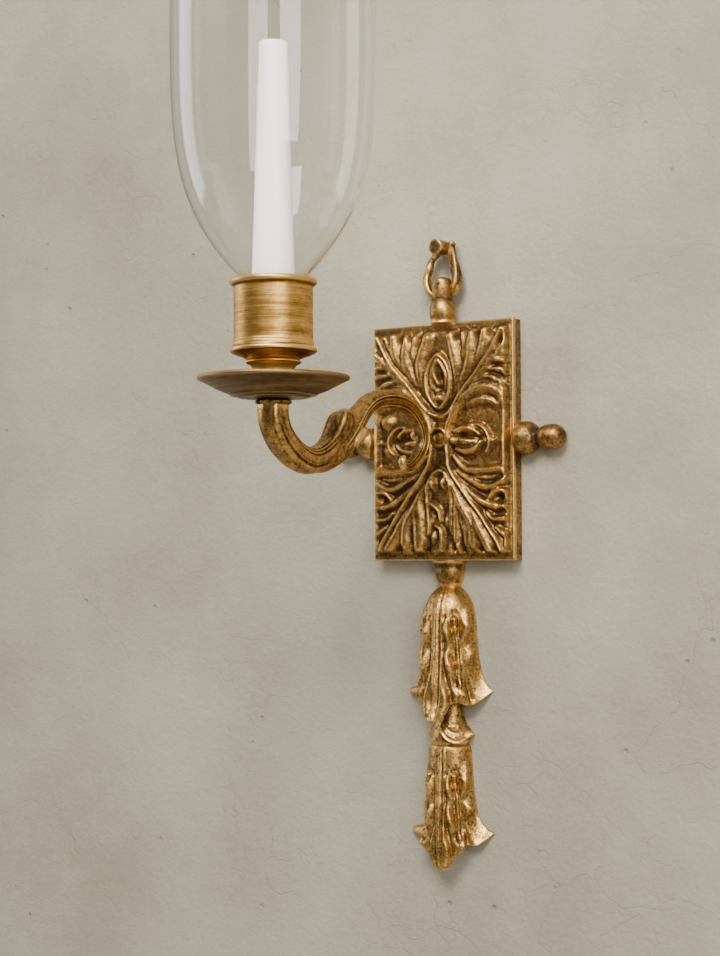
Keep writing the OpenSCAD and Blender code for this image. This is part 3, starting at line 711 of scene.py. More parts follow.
def paint_side_fan(r):
    """Fan beside the boss: a bowl with a bud in it, and curled lobes above and below."""
    r.spread = BROAD
    r.ridge([(7, 0), (7.4, 9), (11, 18), (18, 26), (27, 31.5), (36, 32), (44, 28.5), (49, 22)],
            [1.8, 2.6, 3.8, 3.4], [5, 6, 6.4, 6])
    r.ridge([(20, 22.5), (28, 25), (36, 24.4), (43, 21.5)], [1.4, 2.6, 1.8], [4, 5.2, 4])
    r.ridge([(47.6, 20), (48, 8), (47.6, -4), (48, -16)], 2.2, [5, 5.8, 5.6])
    r.ridge([(10, -9), (15, -14), (20, -17.6), (27, -19), (37, -19), (44, -18.5), (48.6, -21)],
            [1.6, 2.6, 2.4], [4.4, 6, 5.4])
    # bud
    r.spread = FINE
    r.dome((20, 0.6), (12.5, 8.2), 5.6)
    r.dome((11.4, 0.4), (5.4, 5.2), 6.8)
    r.ridge([(12, 5.6), (18, 7.6), (25, 7), (30, 3.4)], [1.6, 2.6, 1.6], [6.4, 7, 5.6])
    r.ridge([(13, -5), (20, -6.6), (27, -5), (31, -1)], [2, 3, 1.8], [6, 6.6, 5.4])
    r.dent((22, 2.2), (7, 1.9), 4.2, -12)
    r.dent((17, 3.4), (3.4, 1.6), 2.0, -12)
    r.ridge([(22, 10), (30, 9.4), (35.4, 5.4), (37.2, 0), (36, -5), (33.4, -7.4)], 1.5, [4.6, 6.2, 4.8])
    r.ridge([(38, 0.2), (42, -0.2), (46.4, 0.2)], 1.0, [4, 3.6, 3.8])
    # lobes below the bowl
    r.spread = CRISP
    r.ridge([(12, -18), (18, -22), (25, -26), (32, -29), (39, -29.6), (45, -26.6), (49, -25)],
            [1.6, 2.8, 2.4], [3.6, 6.2, 5.4])
    r.ridge([(20, -22.4), (28, -23.6), (36, -24), (43, -22.8)], [1.2, 2.2, 1.4], [3, 4.6, 3.4])
    r.ridge([(15, -24), (22, -31), (30, -37), (37, -40.6), (42, -41)], [1.6, 2.8, 2.2], [3.6, 6.4, 5.4])
    r.ridge([(36.4, -36.6), (39.4, -33.4), (44, -31.6), (48.4, -33), (49, -37.4)], 1.7, [5, 6, 5.2])
    r.dent((43, -36.2), (2.8, 2.2), 2.8)
    r.ridge([(41, -42.4), (45.4, -41.4), (48.8, -42.6), (49.4, -46)], 1.6, [5.4, 6, 5])
    r.ridge([(35, -45), (39, -48.4), (44, -48.8), (48.8, -49.6), (49.2, -54)], [1.5, 2, 1.6], [5, 6, 5])
    r.ridge([(41, -54), (44.8, -57), (48.6, -60), (49, -66)], [1.5, 2.2, 2.2], [4.6, 5.8, 5.4])
    # lobes above it
    r.ridge([(30, 37.6), (36, 39), (41, 37.4), (46, 31.4), (49, 29.6)], [2, 3, 1.8], [4, 6.4, 5])
    r.dent((43.6, 34.4), (2.6, 2), 2.4, -40)
    r.ridge([(35, 43.6), (41, 43.6), (46, 42.8), (49, 40)], [1.8, 2.8, 2], [4.6, 6.2, 5])
    r.ridge([(38, 48.2), (43, 49.2), (48.8, 48.4)], [1.6, 2.4, 2], [4.4, 6, 5])
    r.ridge([(42, 55), (46, 56.6), (49, 60), (48.4, 67)], [1.8, 2.6, 2.6], [4.6, 5.8, 5.2])


def relief_heights(x, z):
    """Height of the acanthus relief above the plate's rim."""
    wave_x = x + 0.6 * noise(np.stack([x, z], -1), 15, 1)
    wave_z = z + 0.6 * noise(np.stack([x, z], -1), 13, 2)
    bowl = 0.4 + 5.2 * (((np.abs(wave_x) - 27) / 21) ** 2 + (wave_z / 19.5) ** 2)
    r = Relief(wave_x, wave_z, np.minimum(bowl, 1.6), BROAD)
    for r.side in (1, -1):
        paint_side_fan(r)
    paint_top_fan(r)
    paint_bottom_fan(r)
    r.dome((-39, 13), (12, 9), 4.4)
    r.dome((-38, -5), (9, 8), 4.2)
    gap = np.hypot(x, z - ROOT_Z)
    r.h = smooth_max(r.h, 3.4 - 0.25 * gap)
    inside = np.minimum(RELIEF_W - np.abs(x), RELIEF_H - np.abs(z))
    r.h = r.h * between(inside, 0, 1.6)
    chased = 0.10 * noise(np.stack([x, z], -1), 1.6, 3) + 0.16 * noise(np.stack([x, z], -1), 4.5, 4)
    return 1.08 * blurred(r.h, 1.7) + chased * between(inside, -1, 2)


def rim_rings(corner):
    """Rings from the relief's border round the plate's edge to the middle of its back."""
    outward = np.sign(corner) * (np.abs(corner) > np.array([HALF_W, np.inf, HALF_H]) - PLATE_EDGE - 0.01)
    waver = 0.12 * noise(corner, 9.0, 6)[:, None]
    rings = []
    for turn in (30, 60, 90):
        a = math.radians(turn)
        ring = corner + outward * (PLATE_EDGE * math.sin(a) + waver * math.sin(a) - 0.12)
        ring[:, 1] = RIM_Y + PLATE_EDGE * (1 - math.cos(a))
        rings.append(ring)
    for y_back in (FRAME_Y - 0.4, FRAME_Y):
        ring = rings[2].copy()
        ring[:, 1] = y_back
        rings.append(ring)
    return rings + [rings[-1] * [0.5, 1, 0.5]]


def relief_piece():
    """The plate's front: relief, flat rim, rounded edge, and a plain back on the frame."""
    xs, zs = (np.linspace(PLATE_EDGE - half, half - PLATE_EDGE, int(2 * half / RELIEF_STEP))
              for half in (HALF_W, HALF_H))
    x, z = np.meshgrid(xs, zs, indexing="ij")
    front = np.stack([x, RIM_Y - relief_heights(x, z), z], -1).reshape(-1, 3)
    faces = quads(*x.shape, False)
    index = np.arange(x.size).reshape(x.shape)
    border = np.concatenate([index[:-1, 0], index[-1, :-1], index[:0:-1, -1], index[0, :0:-1]])
    rings = rim_rings(front[border])
    count = len(border)
    after = (np.arange(count) + 1) % count
    points = np.vstack([front] + rings + [[[0, FRAME_Y, 0]]])
    ids = [border] + [x.size + k * count + np.arange(count) for k in range(len(rings))]
    for inner, outer in zip(ids, ids[1:]):
        faces += np.stack([inner, inner[after], outer[after], outer], 1).tolist()
    faces += np.stack([ids[-1], ids[-1][after], np.full(count, len(points) - 1)], 1).tolist()
    casting("relief_casting", "relief_panel", (points, faces), GILT, 44, 1.3)


def boss_piece():
    """Ring boss that the arm's stud passes through, with a worn, lop-sided lip."""
    depth = BOSS_LO[1]
    recess = BOSS_HI[1] - 1.5
    profile = rounded([(0, recess), (3.9, recess), (4.1, depth + 1.2), (4.6, depth + 0.3), (5.4, depth),
                       (6.3, depth + 0.5), (6.9, depth + 1.6), (6.9, BOSS_HI[1]), (0, BOSS_HI[1])], 0.7)
    ring = skin(turned_across(profile[1:-1], ROOT_Z, 72))
    casting("arm_boss_ring", "arm_boss", rough_cast(ring, 0.10, 3), GILT, 12, 0.25)


# ---------------------------------------------------------------- arm

FRONT_ROUTE = [(-185, 12, 8.5), (-185, 6, 8.5), (-183, 0, 8.5), (-179, -5.5, 8.4), (-173, -10.5, 8.3),
               (-165, -15, 8.2), (-155, -17.5, 8), (-146, -16.5, 7.6), (-137, -12.5, 7.4),
               (-128, -6.5, 8), (-121.5, 0.5, 9), (-118, 6.5, 8.6), (-116.5, 11, 6.2), (-116, 14, 2.5)]
REAR_ROUTE = [(-151, -19, 4.5), (-142, -18.5, 6), (-131, -14, 7.2), (-121, -8, 7.4), (-112, 0, 7),
              (-106, 7, 6.6), (-99, 14, 6.2), (-90, 19.5, 5.9), (-79, 22.3, 5.7), (-67, 23, 5.5),
              (-54, 21.5, 5.2), (-42.5, 16, 4.9), (-35, 8, 4.6), (-33, 0, 4.3), (-35, -6.5, 4),
              (-41.5, -13, 3.5), (-49, -17.5, 3), (-54, -17, 2.4), (-55.5, -13.5, 2), (-53, -11.5, 1.6)]


def arm_route(points, count):
    """Route in the plane of the arm from (distance, height, radius), stretched to the reach."""
    stretch = AXIS_Y / FRONT_ROUTE[0][0]
    p = np.array([(0, y * stretch, z, r) for y, z, r in points])
    return evenly(spline(p, 8), count)


def front_section(s, a):
    """Chased lines down the inner flank, swelling into a scooped leaf with a raised rim."""
    tube_part = 1 - between(s, 0.64, 0.76)
    chased = sum(line(a, at, 6.5, -0.55) for at in (36, 51, 66)) * between(s, 0.16, 0.34)
    facets = (line(a, 88, 15, 0.55) + line(a, 116, 8, -0.50) * between(s, 0.05, 0.2)
              + line(a, 134, 12, 0.35))
    leaf = between(s, 0.64, 0.80) * (1 - between(s, 0.955, 1.0))
    scoop = line(a, 98, 54, -2.3)
    rim = line(a, 160, 20, 0.7) + line(a, 40, 11, 0.8)
    veins = line(a, 90, 9, 0.2)
    return chased * (tube_part * 0.8 + 0.2) + facets * tube_part + leaf * (scoop + rim + veins)


def rear_section(s, a):
    """Three bands: outer, flat middle and inner, parted by fine lines."""
    on = between(s, 0.14, 0.22)
    first = line(a, 74, 5.5, 0.45) + line(a, 84, 6.5, -0.85)
    second = line(a, 130, 6.5, -0.85) + line(a, 140, 5.5, 0.35)
    return on * (line(a, 107, 30, -0.35) + first + second)


def leaf_bud():
    """Small sheath that sprouts from the inner side of the rear scroll and ends in a point."""
    p = np.array([(4.4, -118, -9, 1.4), (5.6, -112, -4, 2.8), (5.8, -107, 0, 3.3), (5.2, -103.5, 2.2, 2.2),
                  (4.6, -101.6, 3.2, 0.6)])
    return tube(evenly(spline(p, 6), 30), 24, (1, 0, 0))


def arm_root():
    """Slim end of the rear scroll that hooks into the boss."""
    hook = np.array([(-3, -36.5, ROOT_Z, 3), (-4.6, -31, ROOT_Z, 3.4), (-3, -23, ROOT_Z, 2.4),
                     (-5.1, -16, ROOT_Z, 1.6), (-5.4, -12, ROOT_Z, 1.4)])
    return tube(evenly(spline(hook, 6), 40), 24, (0, 0, 1))


def arm_pieces():
    front = tube(arm_route(FRONT_ROUTE, 260), 180, (1, 0, 0), front_section)
    casting("front_scroll_casting", "front_scroll", rough_cast(front, 0.13, 11), GILT, 30, 0.30)
    rear = joined(tube(arm_route(REAR_ROUTE, 340), 144, (1, 0, 0), rear_section), leaf_bud(), arm_root())
    casting("rear_scroll_casting", "rear_scroll", rough_cast(rear, 0.11, 17), GILT, 26, 0.30)


def collar_piece():
    """Beaded, leafy ring under the pan."""
    lo, hi = box_mm("arm_collar")
    middle = (lo[2] + hi[2]) / 2
    outer = hi[0]
    profile = rounded([(5, lo[2]), (outer - 2.4, lo[2] - 0.2), (outer - 1.8, middle - 0.7),
                       (outer - 1.6, middle + 0.5), (outer - 2.4, hi[2]), (5, hi[2])], 0.8)

    def beads(angle, z):
        return (1.9 * np.abs(np.cos(4 * angle)) - 0.4) * np.exp(-((z - middle) / 1.5) ** 2)
    ring = lathe(profile, 216, beads)
    casting("leafy_collar", "arm_collar", rough_cast(ring, 0.08, 23), GILT, 10, 0.5)


# ---------------------------------------------------------------- turned parts on the candle's axis


def turned_piece(name, node, profile, material, corner=0.35):
    """Turned part with softened edges."""
    shape = lathe(softened(profile, corner, 3, 0.4), 160)
    casting(name, node, shape, material, 30, 0.45)


def cup_pieces():
    turned_piece("turned_pan", "drip_pan", [
        (4.95, 15), (11, 15), (19.5, 15.8), (20.6, 16.8), (23.7, 16.8), (24.6, 17.8), (31, 20.3),
        (36.3, 23.1), (40.2, 25.2), (42.1, 25.8), (42.5, 26.3), (42.5, 27.4), (41.9, 28), (40.3, 28),
        (38.5, 26.5), (35, 24.7), (30, 22), (22, 18.5), (4.95, 18.5)], PAN)
    turned_piece("turned_foot", "cup_foot", [
        (4.95, 18.5), (13.5, 18.5), (13.5, 20), (12, 22), (11.2, 26), (11.2, 29), (11.8, 32), (13, 34),
        (15, 34.8), (15.6, 35.5), (15.6, 36), (15, 36.6), (14, 37), (4.95, 37)], FOOT, 0.5)
    turned_piece("turned_base", "cup_base", [
        (4.95, 37), (14.5, 37), (17, 38.2), (20.4, 39.4), (22.8, 40.3), (24, 40.9), (24.4, 41.6),
        (24.4, 42.9), (24, 43.6), (22.8, 44), (22.6, 46.7), (19.5, 46.7), (19.5, 42), (4.95, 42)],
        TURNED)
    turned_piece("turned_barrel", "cup_barrel", [
        (19.8, 46.7), (22.4, 46.7), (22.1, 48), (22.1, 77.4), (22.6, 78.2), (24, 78.8), (24.4, 79.6),
        (24.4, 80.9), (24, 81.6), (22.8, 82.1), (20.4, 82.1), (19.8, 81.4), (19.8, 68), (17.2, 68),
        (17.2, 65), (19.8, 62)], TURNED)


GLASS_WALL = 2.2
CANDLE_FOOT_R, CANDLE_TOP_R = 12.0, 8.0
TAPER_Z = 83                               # height at which the candle's taper starts


def shade_radius(h, neck=17.5, wide=57.6, neck_h=12.0, bell_h=178.0):
    """Outer radius of the shade at height h above its foot."""
    u = np.clip((h - neck_h) / (bell_h - neck_h), 0, 1)
    return neck + (wide - neck) * (1 - (1 - u) ** 4.5) ** 1.02


def glass_piece():
    """Bell of even thickness, open at its foot, with a fire-polished lip."""
    (_, _, foot), (_, _, lip) = box_mm("glass_shade")
    h = np.concatenate([[0.0, 4.0, 8.0], np.linspace(12, 60, 34), np.linspace(62, lip - foot - 1.2, 70)])
    outside = [(shade_radius(k), foot + k) for k in h]
    lip_r = shade_radius(h[-1]) - GLASS_WALL / 2
    lip_arc = [(lip_r + GLASS_WALL / 2 * math.cos(t), lip - 1.2 + 1.1 * math.sin(t))
               for t in np.linspace(0.3, math.pi - 0.3, 7)]
    inside = [(shade_radius(k) - GLASS_WALL, foot + k) for k in h[::-1]]
    new_piece("blown_shade", "glass_shade", lathe(outside + lip_arc + inside, 192), GLASS, "shade")


def candle_piece():
    """Tapered candle whose foot is cylindrical inside the socket."""
    (_, _, foot), (_, _, top) = box_mm("candle")
    low, high = np.array([CANDLE_FOOT_R, TAPER_Z]), np.array([CANDLE_TOP_R, top - 1.4])
    side = [tuple(low + (high - low) * t) for t in np.linspace(0, 1, 60)]
    shoulder = [(CANDLE_TOP_R - 0.2, top - 0.7), (CANDLE_TOP_R - 0.7, top - 0.2), (6.2, top)]
    dimple = [(3, top - 0.15), (1.1, top - 0.3), (0, top - 0.3)]
    base = [(0, foot), (CANDLE_FOOT_R - 0.6, foot), (CANDLE_FOOT_R, foot + 0.6)]
    points, faces = lathe(base + side + shoulder + dimple, 96)
    points[:, 0] += 0.08 * noise(points[:, 2:], 24.0, 31)
    new_piece("wax_candle", "candle", (points, faces), WAX, "candle_body")


def wick_piece():
    """Plaited wick that leans a little as it rises."""
    (_, _, foot), (_, _, top) = box_mm("wick")
    bend = [(0.25 * math.sin(9 * t), AXIS_Y + 0.2 * math.cos(7 * t) - 0.2, foot + (top - foot - 0.3) * t,
             0.6) for t in np.linspace(0, 1, 40)]
    plait = tube(bend, 18, (1, 0, 0), lambda s, a: 0.12 * np.cos(3 * a + 320 * s))
    new_piece("plaited_wick", "wick", plait, WICK, "candle_body")


# ---------------------------------------------------------------- crest, side finials and neck

PEG_LO, PEG_HI = box_mm("loop_peg")
PEG_Z = (PEG_LO[2] + PEG_HI[2]) / 2

def knob_piece():
    """Turned knob on top of the plate, cut flat against the wall."""
    profile = softened([
        (7.6, 75), (7.2, 76.2), (7.9, 78.5), (8.5, 81.5), (8.4, 84.5), (7.4, 87.8), (6.2, 89.8), (6.2, 90.6),
        (6.6, 93), (6.7, 96), (6.5, 99), (5.9, 102), (4.6, 104), (2, 104.1)], 1.2)
    knob = skin(half_turned(profile, 8.5))
    casting("crest_knob", "top_knob", rough_cast(knob, 0.2, 41), GILT, 30, 0.5)


def ribbed(s, a):
    """Ribs across a stem, with a vein down its lower half."""
    ribs = 0.30 * np.sin(23 * s + 0.8 * np.cos(a)) * between(s, 0.3, 0.5)
    return ribs + line(a, 70, 30, 0.5) * (1 - between(s, 0.5, 0.7))


def leaf_flutes(s, a):
    """Fluted leaf: folds that run across its broad foot, and a tip that curls over."""
    folds = 0.5 * np.cos(3 * a - 7 * s) * (1 - between(s, 0.7, 0.95))
    return folds + 0.7 * between(s, 0.88, 0.96) * (1 - between(s, 0.97, 1.0))


def loop_piece():
    """Lyre of two leafy stems that rise from the knob and meet at an eye round the peg."""
    left = np.array([(-6.2, -8.2, 93, 1.4), (-9.4, -8, 95.5, 2.3), (-12, -7.4, 100, 2.8),
                     (-12.6, -6.8, 105, 2.7), (-10.8, -6.2, 112, 2.4), (-8.2, -5.4, 118, 2.2),
                     (-3.8, -3.4, 122, 2)])
    right = np.array([(6.2, -8.2, 93, 1.8), (8.2, -8, 95.5, 3), (9.4, -7.4, 100, 3.3),
                      (9.4, -6.8, 105, 3.1), (7.8, -6.4, 112, 2.9), (5.8, -6, 118, 2.8),
                      (4.8, -5.4, 123, 2.4), (5, -5, 127.5, 1.5)])
    eye = [(2.6, -0.3), (3.9, -0.3), (4.4, -1), (4.4, -3.8), (3.8, -4.6), (2.6, -4.6)]
    loop = joined(tube(evenly(spline(left, 8), 90), 32, (0, 1, 0), ribbed),
                  tube(evenly(spline(right, 8), 90), 64, (0, 1, 0), leaf_flutes),
                  skin(turned_across(eye, PEG_Z, 48), caps=False))
    casting("crest_loop", "top_loop", rough_cast(loop, 0.16, 47), GILT, 16, 0.35)


def peg_piece():
    """Headed peg that the loop hangs on."""
    front, back = PEG_LO[1], PEG_HI[1]
    profile = softened([
        (2.4, back - 0.1), (2.4, -7.0), (4.6, -7.0), (4.9, -8), (4.8, -13), (5, front + 1.6),
        (4.6, front + 0.9), (2.4, front + 0.4), (0.3, front + 0.2)], 0.9, step=0.4)
    points, faces = rough_cast(skin(turned_across(profile, PEG_Z, 48)), 0.26, 53)
    points[:, 1] = np.clip(points[:, 1], front, 0)
    store_wear_and_shade(new_piece("peg_casting", "loop_peg", (points, faces), GILT), 16, 0.4)


def finial_piece(side):
    """Ball and bud on one side of the plate."""
    profile = softened([
        (6.6, -0.5), (8.8, 0.8), (10.2, 3.2), (10.5, 6), (9.9, 9.5), (8.2, 12.2), (6.2, 14), (5.7, 15),
        (6.1, 16.2), (7.2, 18.6), (7.9, 21.5), (8, 24.5), (7.5, 27.5), (6.2, 30.2), (4.2, 32.1), (2, 32.9),
        (0.3, 33)], 1.5)
    across, out, along = np.moveaxis(half_turned(profile, 5), -1, 0)
    bud = skin(np.stack([side * (HALF_W + along), out, 0.5 + across], -1))
    points, faces = rough_cast(bud, 0.22, 59 + side)
    reach = HALF_W + 32.9
    points[:, 0] = np.clip(points[:, 0], -reach, reach)
    name = "right" if side > 0 else "left"
    casting(f"{name}_bud", f"{name}_finial", (points, faces), GILT, 30, 0.5)


def neck_piece():
    """Turned neck between the plate and the hanging drop."""
    profile = softened([
        (7, -91), (7.4, -89.6), (9, -87), (10, -84), (10.3, -81), (10, -78.5), (10.6, -76.6), (12, -75)],
        1.5)
    knuckle = skin(half_turned(profile, 0.02))
    casting("drop_knuckle", "drop_neck", rough_cast(knuckle, 0.2, 61), GILT, 30, 0.5)


# ---------------------------------------------------------------- hanging drop

CHANNEL_X, CHANNEL_Y = 3.1, 2.6            # the spine's channel in the back of the husks
HUSK_R = 19.0                              # radius at which the husks' leaves are laid out
SHEET = 1.3                                # thickness of the husks' lips
KNOB = 10.5                                # how far the husks' left knobs stand out


def husk_front(profile, rim, scale, curl, rows, cols):
    """A husk's outer surface: rows of points from its top down to its rim."""
    heights, radii = spline(profile[::-1], 8).T
    top = profile[0][0]
    angle = np.linspace(-90, 90, cols)
    turn, tip_z, tip_r = spline(rim, 10).T
    rim_z, rim_r = (np.interp(np.abs(angle), turn, tip) for tip in (tip_z, tip_r))
    # on the left a round knob stands where the right side's tip flares
    left = between(-angle, 50, 70)
    knob_z = rim_z[0] - 0.6
    rim_r = rim_r - left * np.maximum(rim_r - 20, 0)
    rim_z = rim_z - 4.5 * left * between(-angle, 74, 90)
    t = np.linspace(0, 1, rows)[:, None]
    z = top + (rim_z - top) * t
    r = np.interp(z, heights, radii)
    r = r + (rim_r - r) * t ** 7
    r = r + KNOB * np.exp(-((angle + 90) / 15) ** 2) * np.exp(-((z - knob_z) / 3.4) ** 4)
    sheet = Relief(np.radians(angle) * HUSK_R * np.ones_like(t), z)
    paint_husk(sheet, top, scale)
    r = r + blurred(sheet.h * between(t, 0.0, 0.05), 1.6)
    extra_r, extra_z = curl(angle, t)
    r, z, a = r + extra_r, z + extra_z, np.radians(angle)
    return np.stack([r * np.sin(a), np.minimum(-r * np.cos(a), 0), z], -1)


def husk_lining(outer, floor_z, floor_r):
    """Rows that go on from the outer surface round the lip and up inside to the hollow's floor."""
    rows, cols, _ = outer.shape
    normal = np.cross(np.gradient(outer, axis=1), np.gradient(outer, axis=0))
    normal /= np.linalg.norm(normal, axis=2)[..., None]
    normal *= np.sign((normal[..., :2] * outer[..., :2]).sum(2))[..., None]
    picks = [rows - 1] + [int(share * rows) for share in (0.96, 0.92, 0.86)]
    under = outer[picks] - SHEET * normal[picks]
    lip = outer[-1] - 0.5 * SHEET * normal[-1] + 0.35 * (outer[-1] - outer[-4])
    a = np.radians(np.linspace(-90, 90, cols))
    floor = np.stack([floor_r * np.sin(a), -4 - (floor_r - 4) * np.cos(a), np.full(cols, floor_z)], -1)
    deeper = [under[-1] + (floor - under[-1]) * share for share in (0.4, 0.75, 1.0)]
    return np.concatenate([[lip], under, deeper])


def husk_shape(profile, rim, mouth, scale, curl, seed, rows=230, cols=190):
    """Open husk on a flat back: petals painted on its side, ending in curled tips.

    profile lists (height, radius) down the body, and rim lists (angle, height, radius) along the
    rim from the front petal's tip to a side petal's. mouth is the (height, radius) of the hollow's
    floor. scale stretches the painted leaves along the husk. curl(angle, share) is what the tips
    add to the radius and the height."""
    outer = husk_front(profile, rim, scale, curl, rows, cols)
    inner = husk_lining(outer, *mouth)
    body = np.concatenate([outer, inner])
    # the back, with the spine's channel sunk in it
    across = CHANNEL_X * np.array([1, 1, -1, -1])
    channel = np.zeros((len(body), 4, 3))
    channel[:rows, :, 0] = across
    channel[:rows, :, 1] = (0, -CHANNEL_Y, -CHANNEL_Y, 0)
    channel[rows:, :, 0] = across + (2, 0.5, -0.5, -2)
    channel[rows:, :, 1] = np.minimum(inner[:, :1, 1], -CHANNEL_Y - 0.4)
    channel[..., 2] = body[:, :1, 2]
    points, faces = skin(np.concatenate([body, channel], 1))
    moved, _ = rough_cast((points, faces), 0.10, seed)
    # the back and the channel keep their true shape
    back = np.abs(points[:, 1]) < CHANNEL_Y + 0.6
    moved[back] = points[back]
    return moved, faces


def paint_husk(sheet, top, scale):
    """Veined front petal, and on each side a bud on a stem between lobed leaves.

    Strokes are (distance round the husk, distance below its top)."""
    def lobe(points, width, height):
        sheet.swell([(u, top - scale * down) for u, down in points], width, height)

    def hollow(points, width, depth):
        lobe(points, width, -np.array(depth, float))

    for sheet.side, full in ((1, 1.0), (-1, 0.4)):
        # hollows beside the front petal and round the bud and its stem
        hollow([(5.6, 19), (5.2, 34), (5.4, 50), (7.6, 62), (10.8, 74)], [1.6, 2.2, 2.4, 2.8, 2.8],
               [0.8, 1.6, 1.9, 2.3, 1.6])
        hollow([(12.6, 17.5), (13.2, 28), (14.2, 44), (15.0, 62)], [4.2, 6.4, 6.2, 5.0],
               [1.5, 1.9, 1.6, 1.2])
        # leaves that lean on the stem from both sides
        lobe([(6.2, 22), (8.0, 29), (11.4, 37)], [2.2, 3.8, 2.0], [1.4, 4.0, 1.0])
        lobe([(6.6, 42), (9.2, 49), (12.8, 56)], [2.2, 3.8, 2.0], [1.2, 4.0, 1.0])
        lobe([(23.0, 14), (20.0, 24), (16.0, 35)], [4.0, 5.4, 2.8], np.array([0.8, 3.6, 1.2]) * full)
        lobe([(27.0, 36), (22.6, 42), (17.8, 48)], [4.0, 5.4, 3.4], np.array([1.0, 3.4, 1.4]) * full)
        # bud, stem and the stem's foot
        lobe([(12.2, 20.5), (12.6, 28)], [3.0, 2.4], [3.6, 2.6])
        lobe([(13.0, 27), (14.6, 45), (15.2, 62)], 1.8, [2.0, 1.8, 2.0])
        lobe([(15.0, 59), (13.2, 67), (12.0, 74)], [2.0, 3.6, 3.6], [0.8, 2.4, 2.2])
        lobe([(15.2, 59), (17.6, 67), (19.2, 73)], [2.0, 3.6, 3.4], [0.8, 2.4, 2.2])
        hollow([(18.8, 52), (20.4, 60), (22.4, 70)], [1.8, 2.4, 2.4], [0.5, 1.6, 1.4])
        # swelling towards the front petal's tip
        lobe([(4.8, 56), (7.0, 67), (5.0, 79)], [2.2, 4.4, 3.2], [0.6, 2.0, 1.4])
    # two fine veins, with a narrow groove between them
    sheet.side = 1
    for u, wide in ((0.1, 1.4), (3.9, 1.3)):
        lobe([(u, 4), (u + 0.2, 40), (u, 62), (0.6 * u - 0.2, 81)], wide, [0.5, 1.0, 0.9])
    hollow([(2.1, 3), (2.2, 40), (2.0, 62), (1.0, 81)], 1.6, [0.4, 1.0, 1.0])


def petal_share(angle, middle, spread):
    return np.exp(-((np.abs(angle) - middle) / spread) ** 2)


def upper_curl(angle, t):
    """Tips of the upper husk: the front one spoons outwards, the side ones turn up a little."""
    front, side = petal_share(angle, 0, 18), petal_share(angle, 90, 12)
    gap = petal_share(angle, 50, 9)
    return (-1.2 * front * between(t, 0.70, 0.86) + 2.2 * front * between(t, 0.86, 1.0)
            + 1.6 * gap * between(t, 0.84, 0.96) - 1.0 * gap * between(t, 0.96, 1.0),
            1.6 * side * between(t, 0.93, 1.0))


def lower_curl(angle, t):
    """Tips of the lower husk: the front petal closes in a bud, the side ones turn up."""
    front, side = petal_share(angle, 0, 30), petal_share(angle, 90, 12)
    gap = petal_share(angle, 50, 10)
    return (2.8 * gap * between(t, 0.80, 0.93) - 2.0 * gap * between(t, 0.94, 1.0)
            + 1.0 * front * between(t, 0.70, 0.86) - 1.6 * front * between(t, 0.92, 1.0) ** 2,
            1.6 * side * between(t, 0.93, 1.0))


def calyx_petals(angle, along):
    """Two hanging petals with nested folds, the left one faint, and a knob on each side."""
    turn = np.degrees(angle)
    total = 0.0
    for middle, size in ((40, 1.0), (-40, 0.2)):
        off = (turn - middle) / 44.0
        edge = 188.6 - 10 * off ** 2
        down = np.clip((-along - 168) / (edge - 168), 0, 1)
        flare = 5.6 * down ** 2.2 * (1 - between(-along, edge, edge + 1.6))
        folds = 0.30 * np.sin(1.25 * (edge + along) + 1.5 * off + 0.6) * between(-along, 173, 179)
        total = total + size * np.clip(1 - off ** 2, 0, 1) ** 0.35 * (flare + folds * (down < 1))
    knob = np.exp(-((np.abs(turn) - 86) / 14) ** 2) * np.exp(-((along + 183.6) / 3.4) ** 2)
    return total + 4.8 * knob


def calyx_piece():
    """Small calyx between the husks."""
    profile = softened([
        (12.2, -190), (12.6, -187), (12.2, -182), (10.8, -177), (9.2, -172), (8.4, -166), (8, -151.1)],
        1.0, step=0.4)
    calyx = skin(half_turned(profile, 0.02, 180, calyx_petals))
    casting("calyx_casting", "calyx", rough_cast(calyx, 0.10, 71), GILT_RUBBED, 40, 0.9)


def husk_pieces():
    upper = husk_shape([(-91, 7), (-93, 9.6), (-96, 12.6), (-102, 16), (-108, 17.6), (-117, 18.6),
                        (-130, 19.3), (-144, 20.2), (-180, 21)],
                       [(0, -175, 23.5), (12, -173.6, 22.6), (22, -169.6, 21), (31, -164, 19.3),
                        (46, -163.5, 17.5), (58, -165, 18.5), (72, -164.5, 22), (82, -161.5, 26),
                        (90, -157.5, 30.5)],
                       (-152, 10), 1.0, upper_curl, 81)
    lower = husk_shape([(-190, 12.6), (-193, 14.4), (-205, 15.2), (-219, 16.1), (-232, 17), (-270, 17)],
                       [(0, -267.8, 14), (16, -267.4, 14), (29, -265, 14), (40, -258.5, 14.2),
                        (50, -256, 15.5), (60, -251.5, 18), (72, -252, 22), (82, -249.5, 26),
                        (90, -245.5, 30.5)],
                       (-239, 9), 0.93, lower_curl, 91)
    for name, shape in (("upper_husk", upper), ("lower_husk", lower)):
        casting(f"{name}_casting", name, shape, GILT_RUBBED, 50, 2.0, 0.16)


# ---------------------------------------------------------------- carried-over CAD nodes


def dress_cad_nodes():
    """Procedural materials for the CAD nodes that stay."""
    steel = ["wall_bracket", "bracket_grub_screws", "panel_screws", "arm_stud", "arm_nut", "cup_nipple",
             "cup_lock_nut", "finial_studs", "finial_nuts", "drop_spine", "spine_rivets"]
    for names, material in ((steel, STEEL), (["back_frame", "candle_socket"], GILT_PLAIN),
                            (["shade_gasket"], FELT)):
        for name in names:
            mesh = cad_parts[name].data
            mesh.materials.clear()
            mesh.materials.append(material)


# ---------------------------------------------------------------- wall, floor, light, camera

WALL_Y = 0.0006                            # the plaster's face, just behind the castings' backs
CAMERA_AT = (0.6205, -0.9979, -0.0706)
CAMERA_AZIMUTH, CAMERA_PITCH, CAMERA_ROLL = 34.68, 2.35, -0.19
CAMERA_LENS, SENSOR = 69.67, 36.0

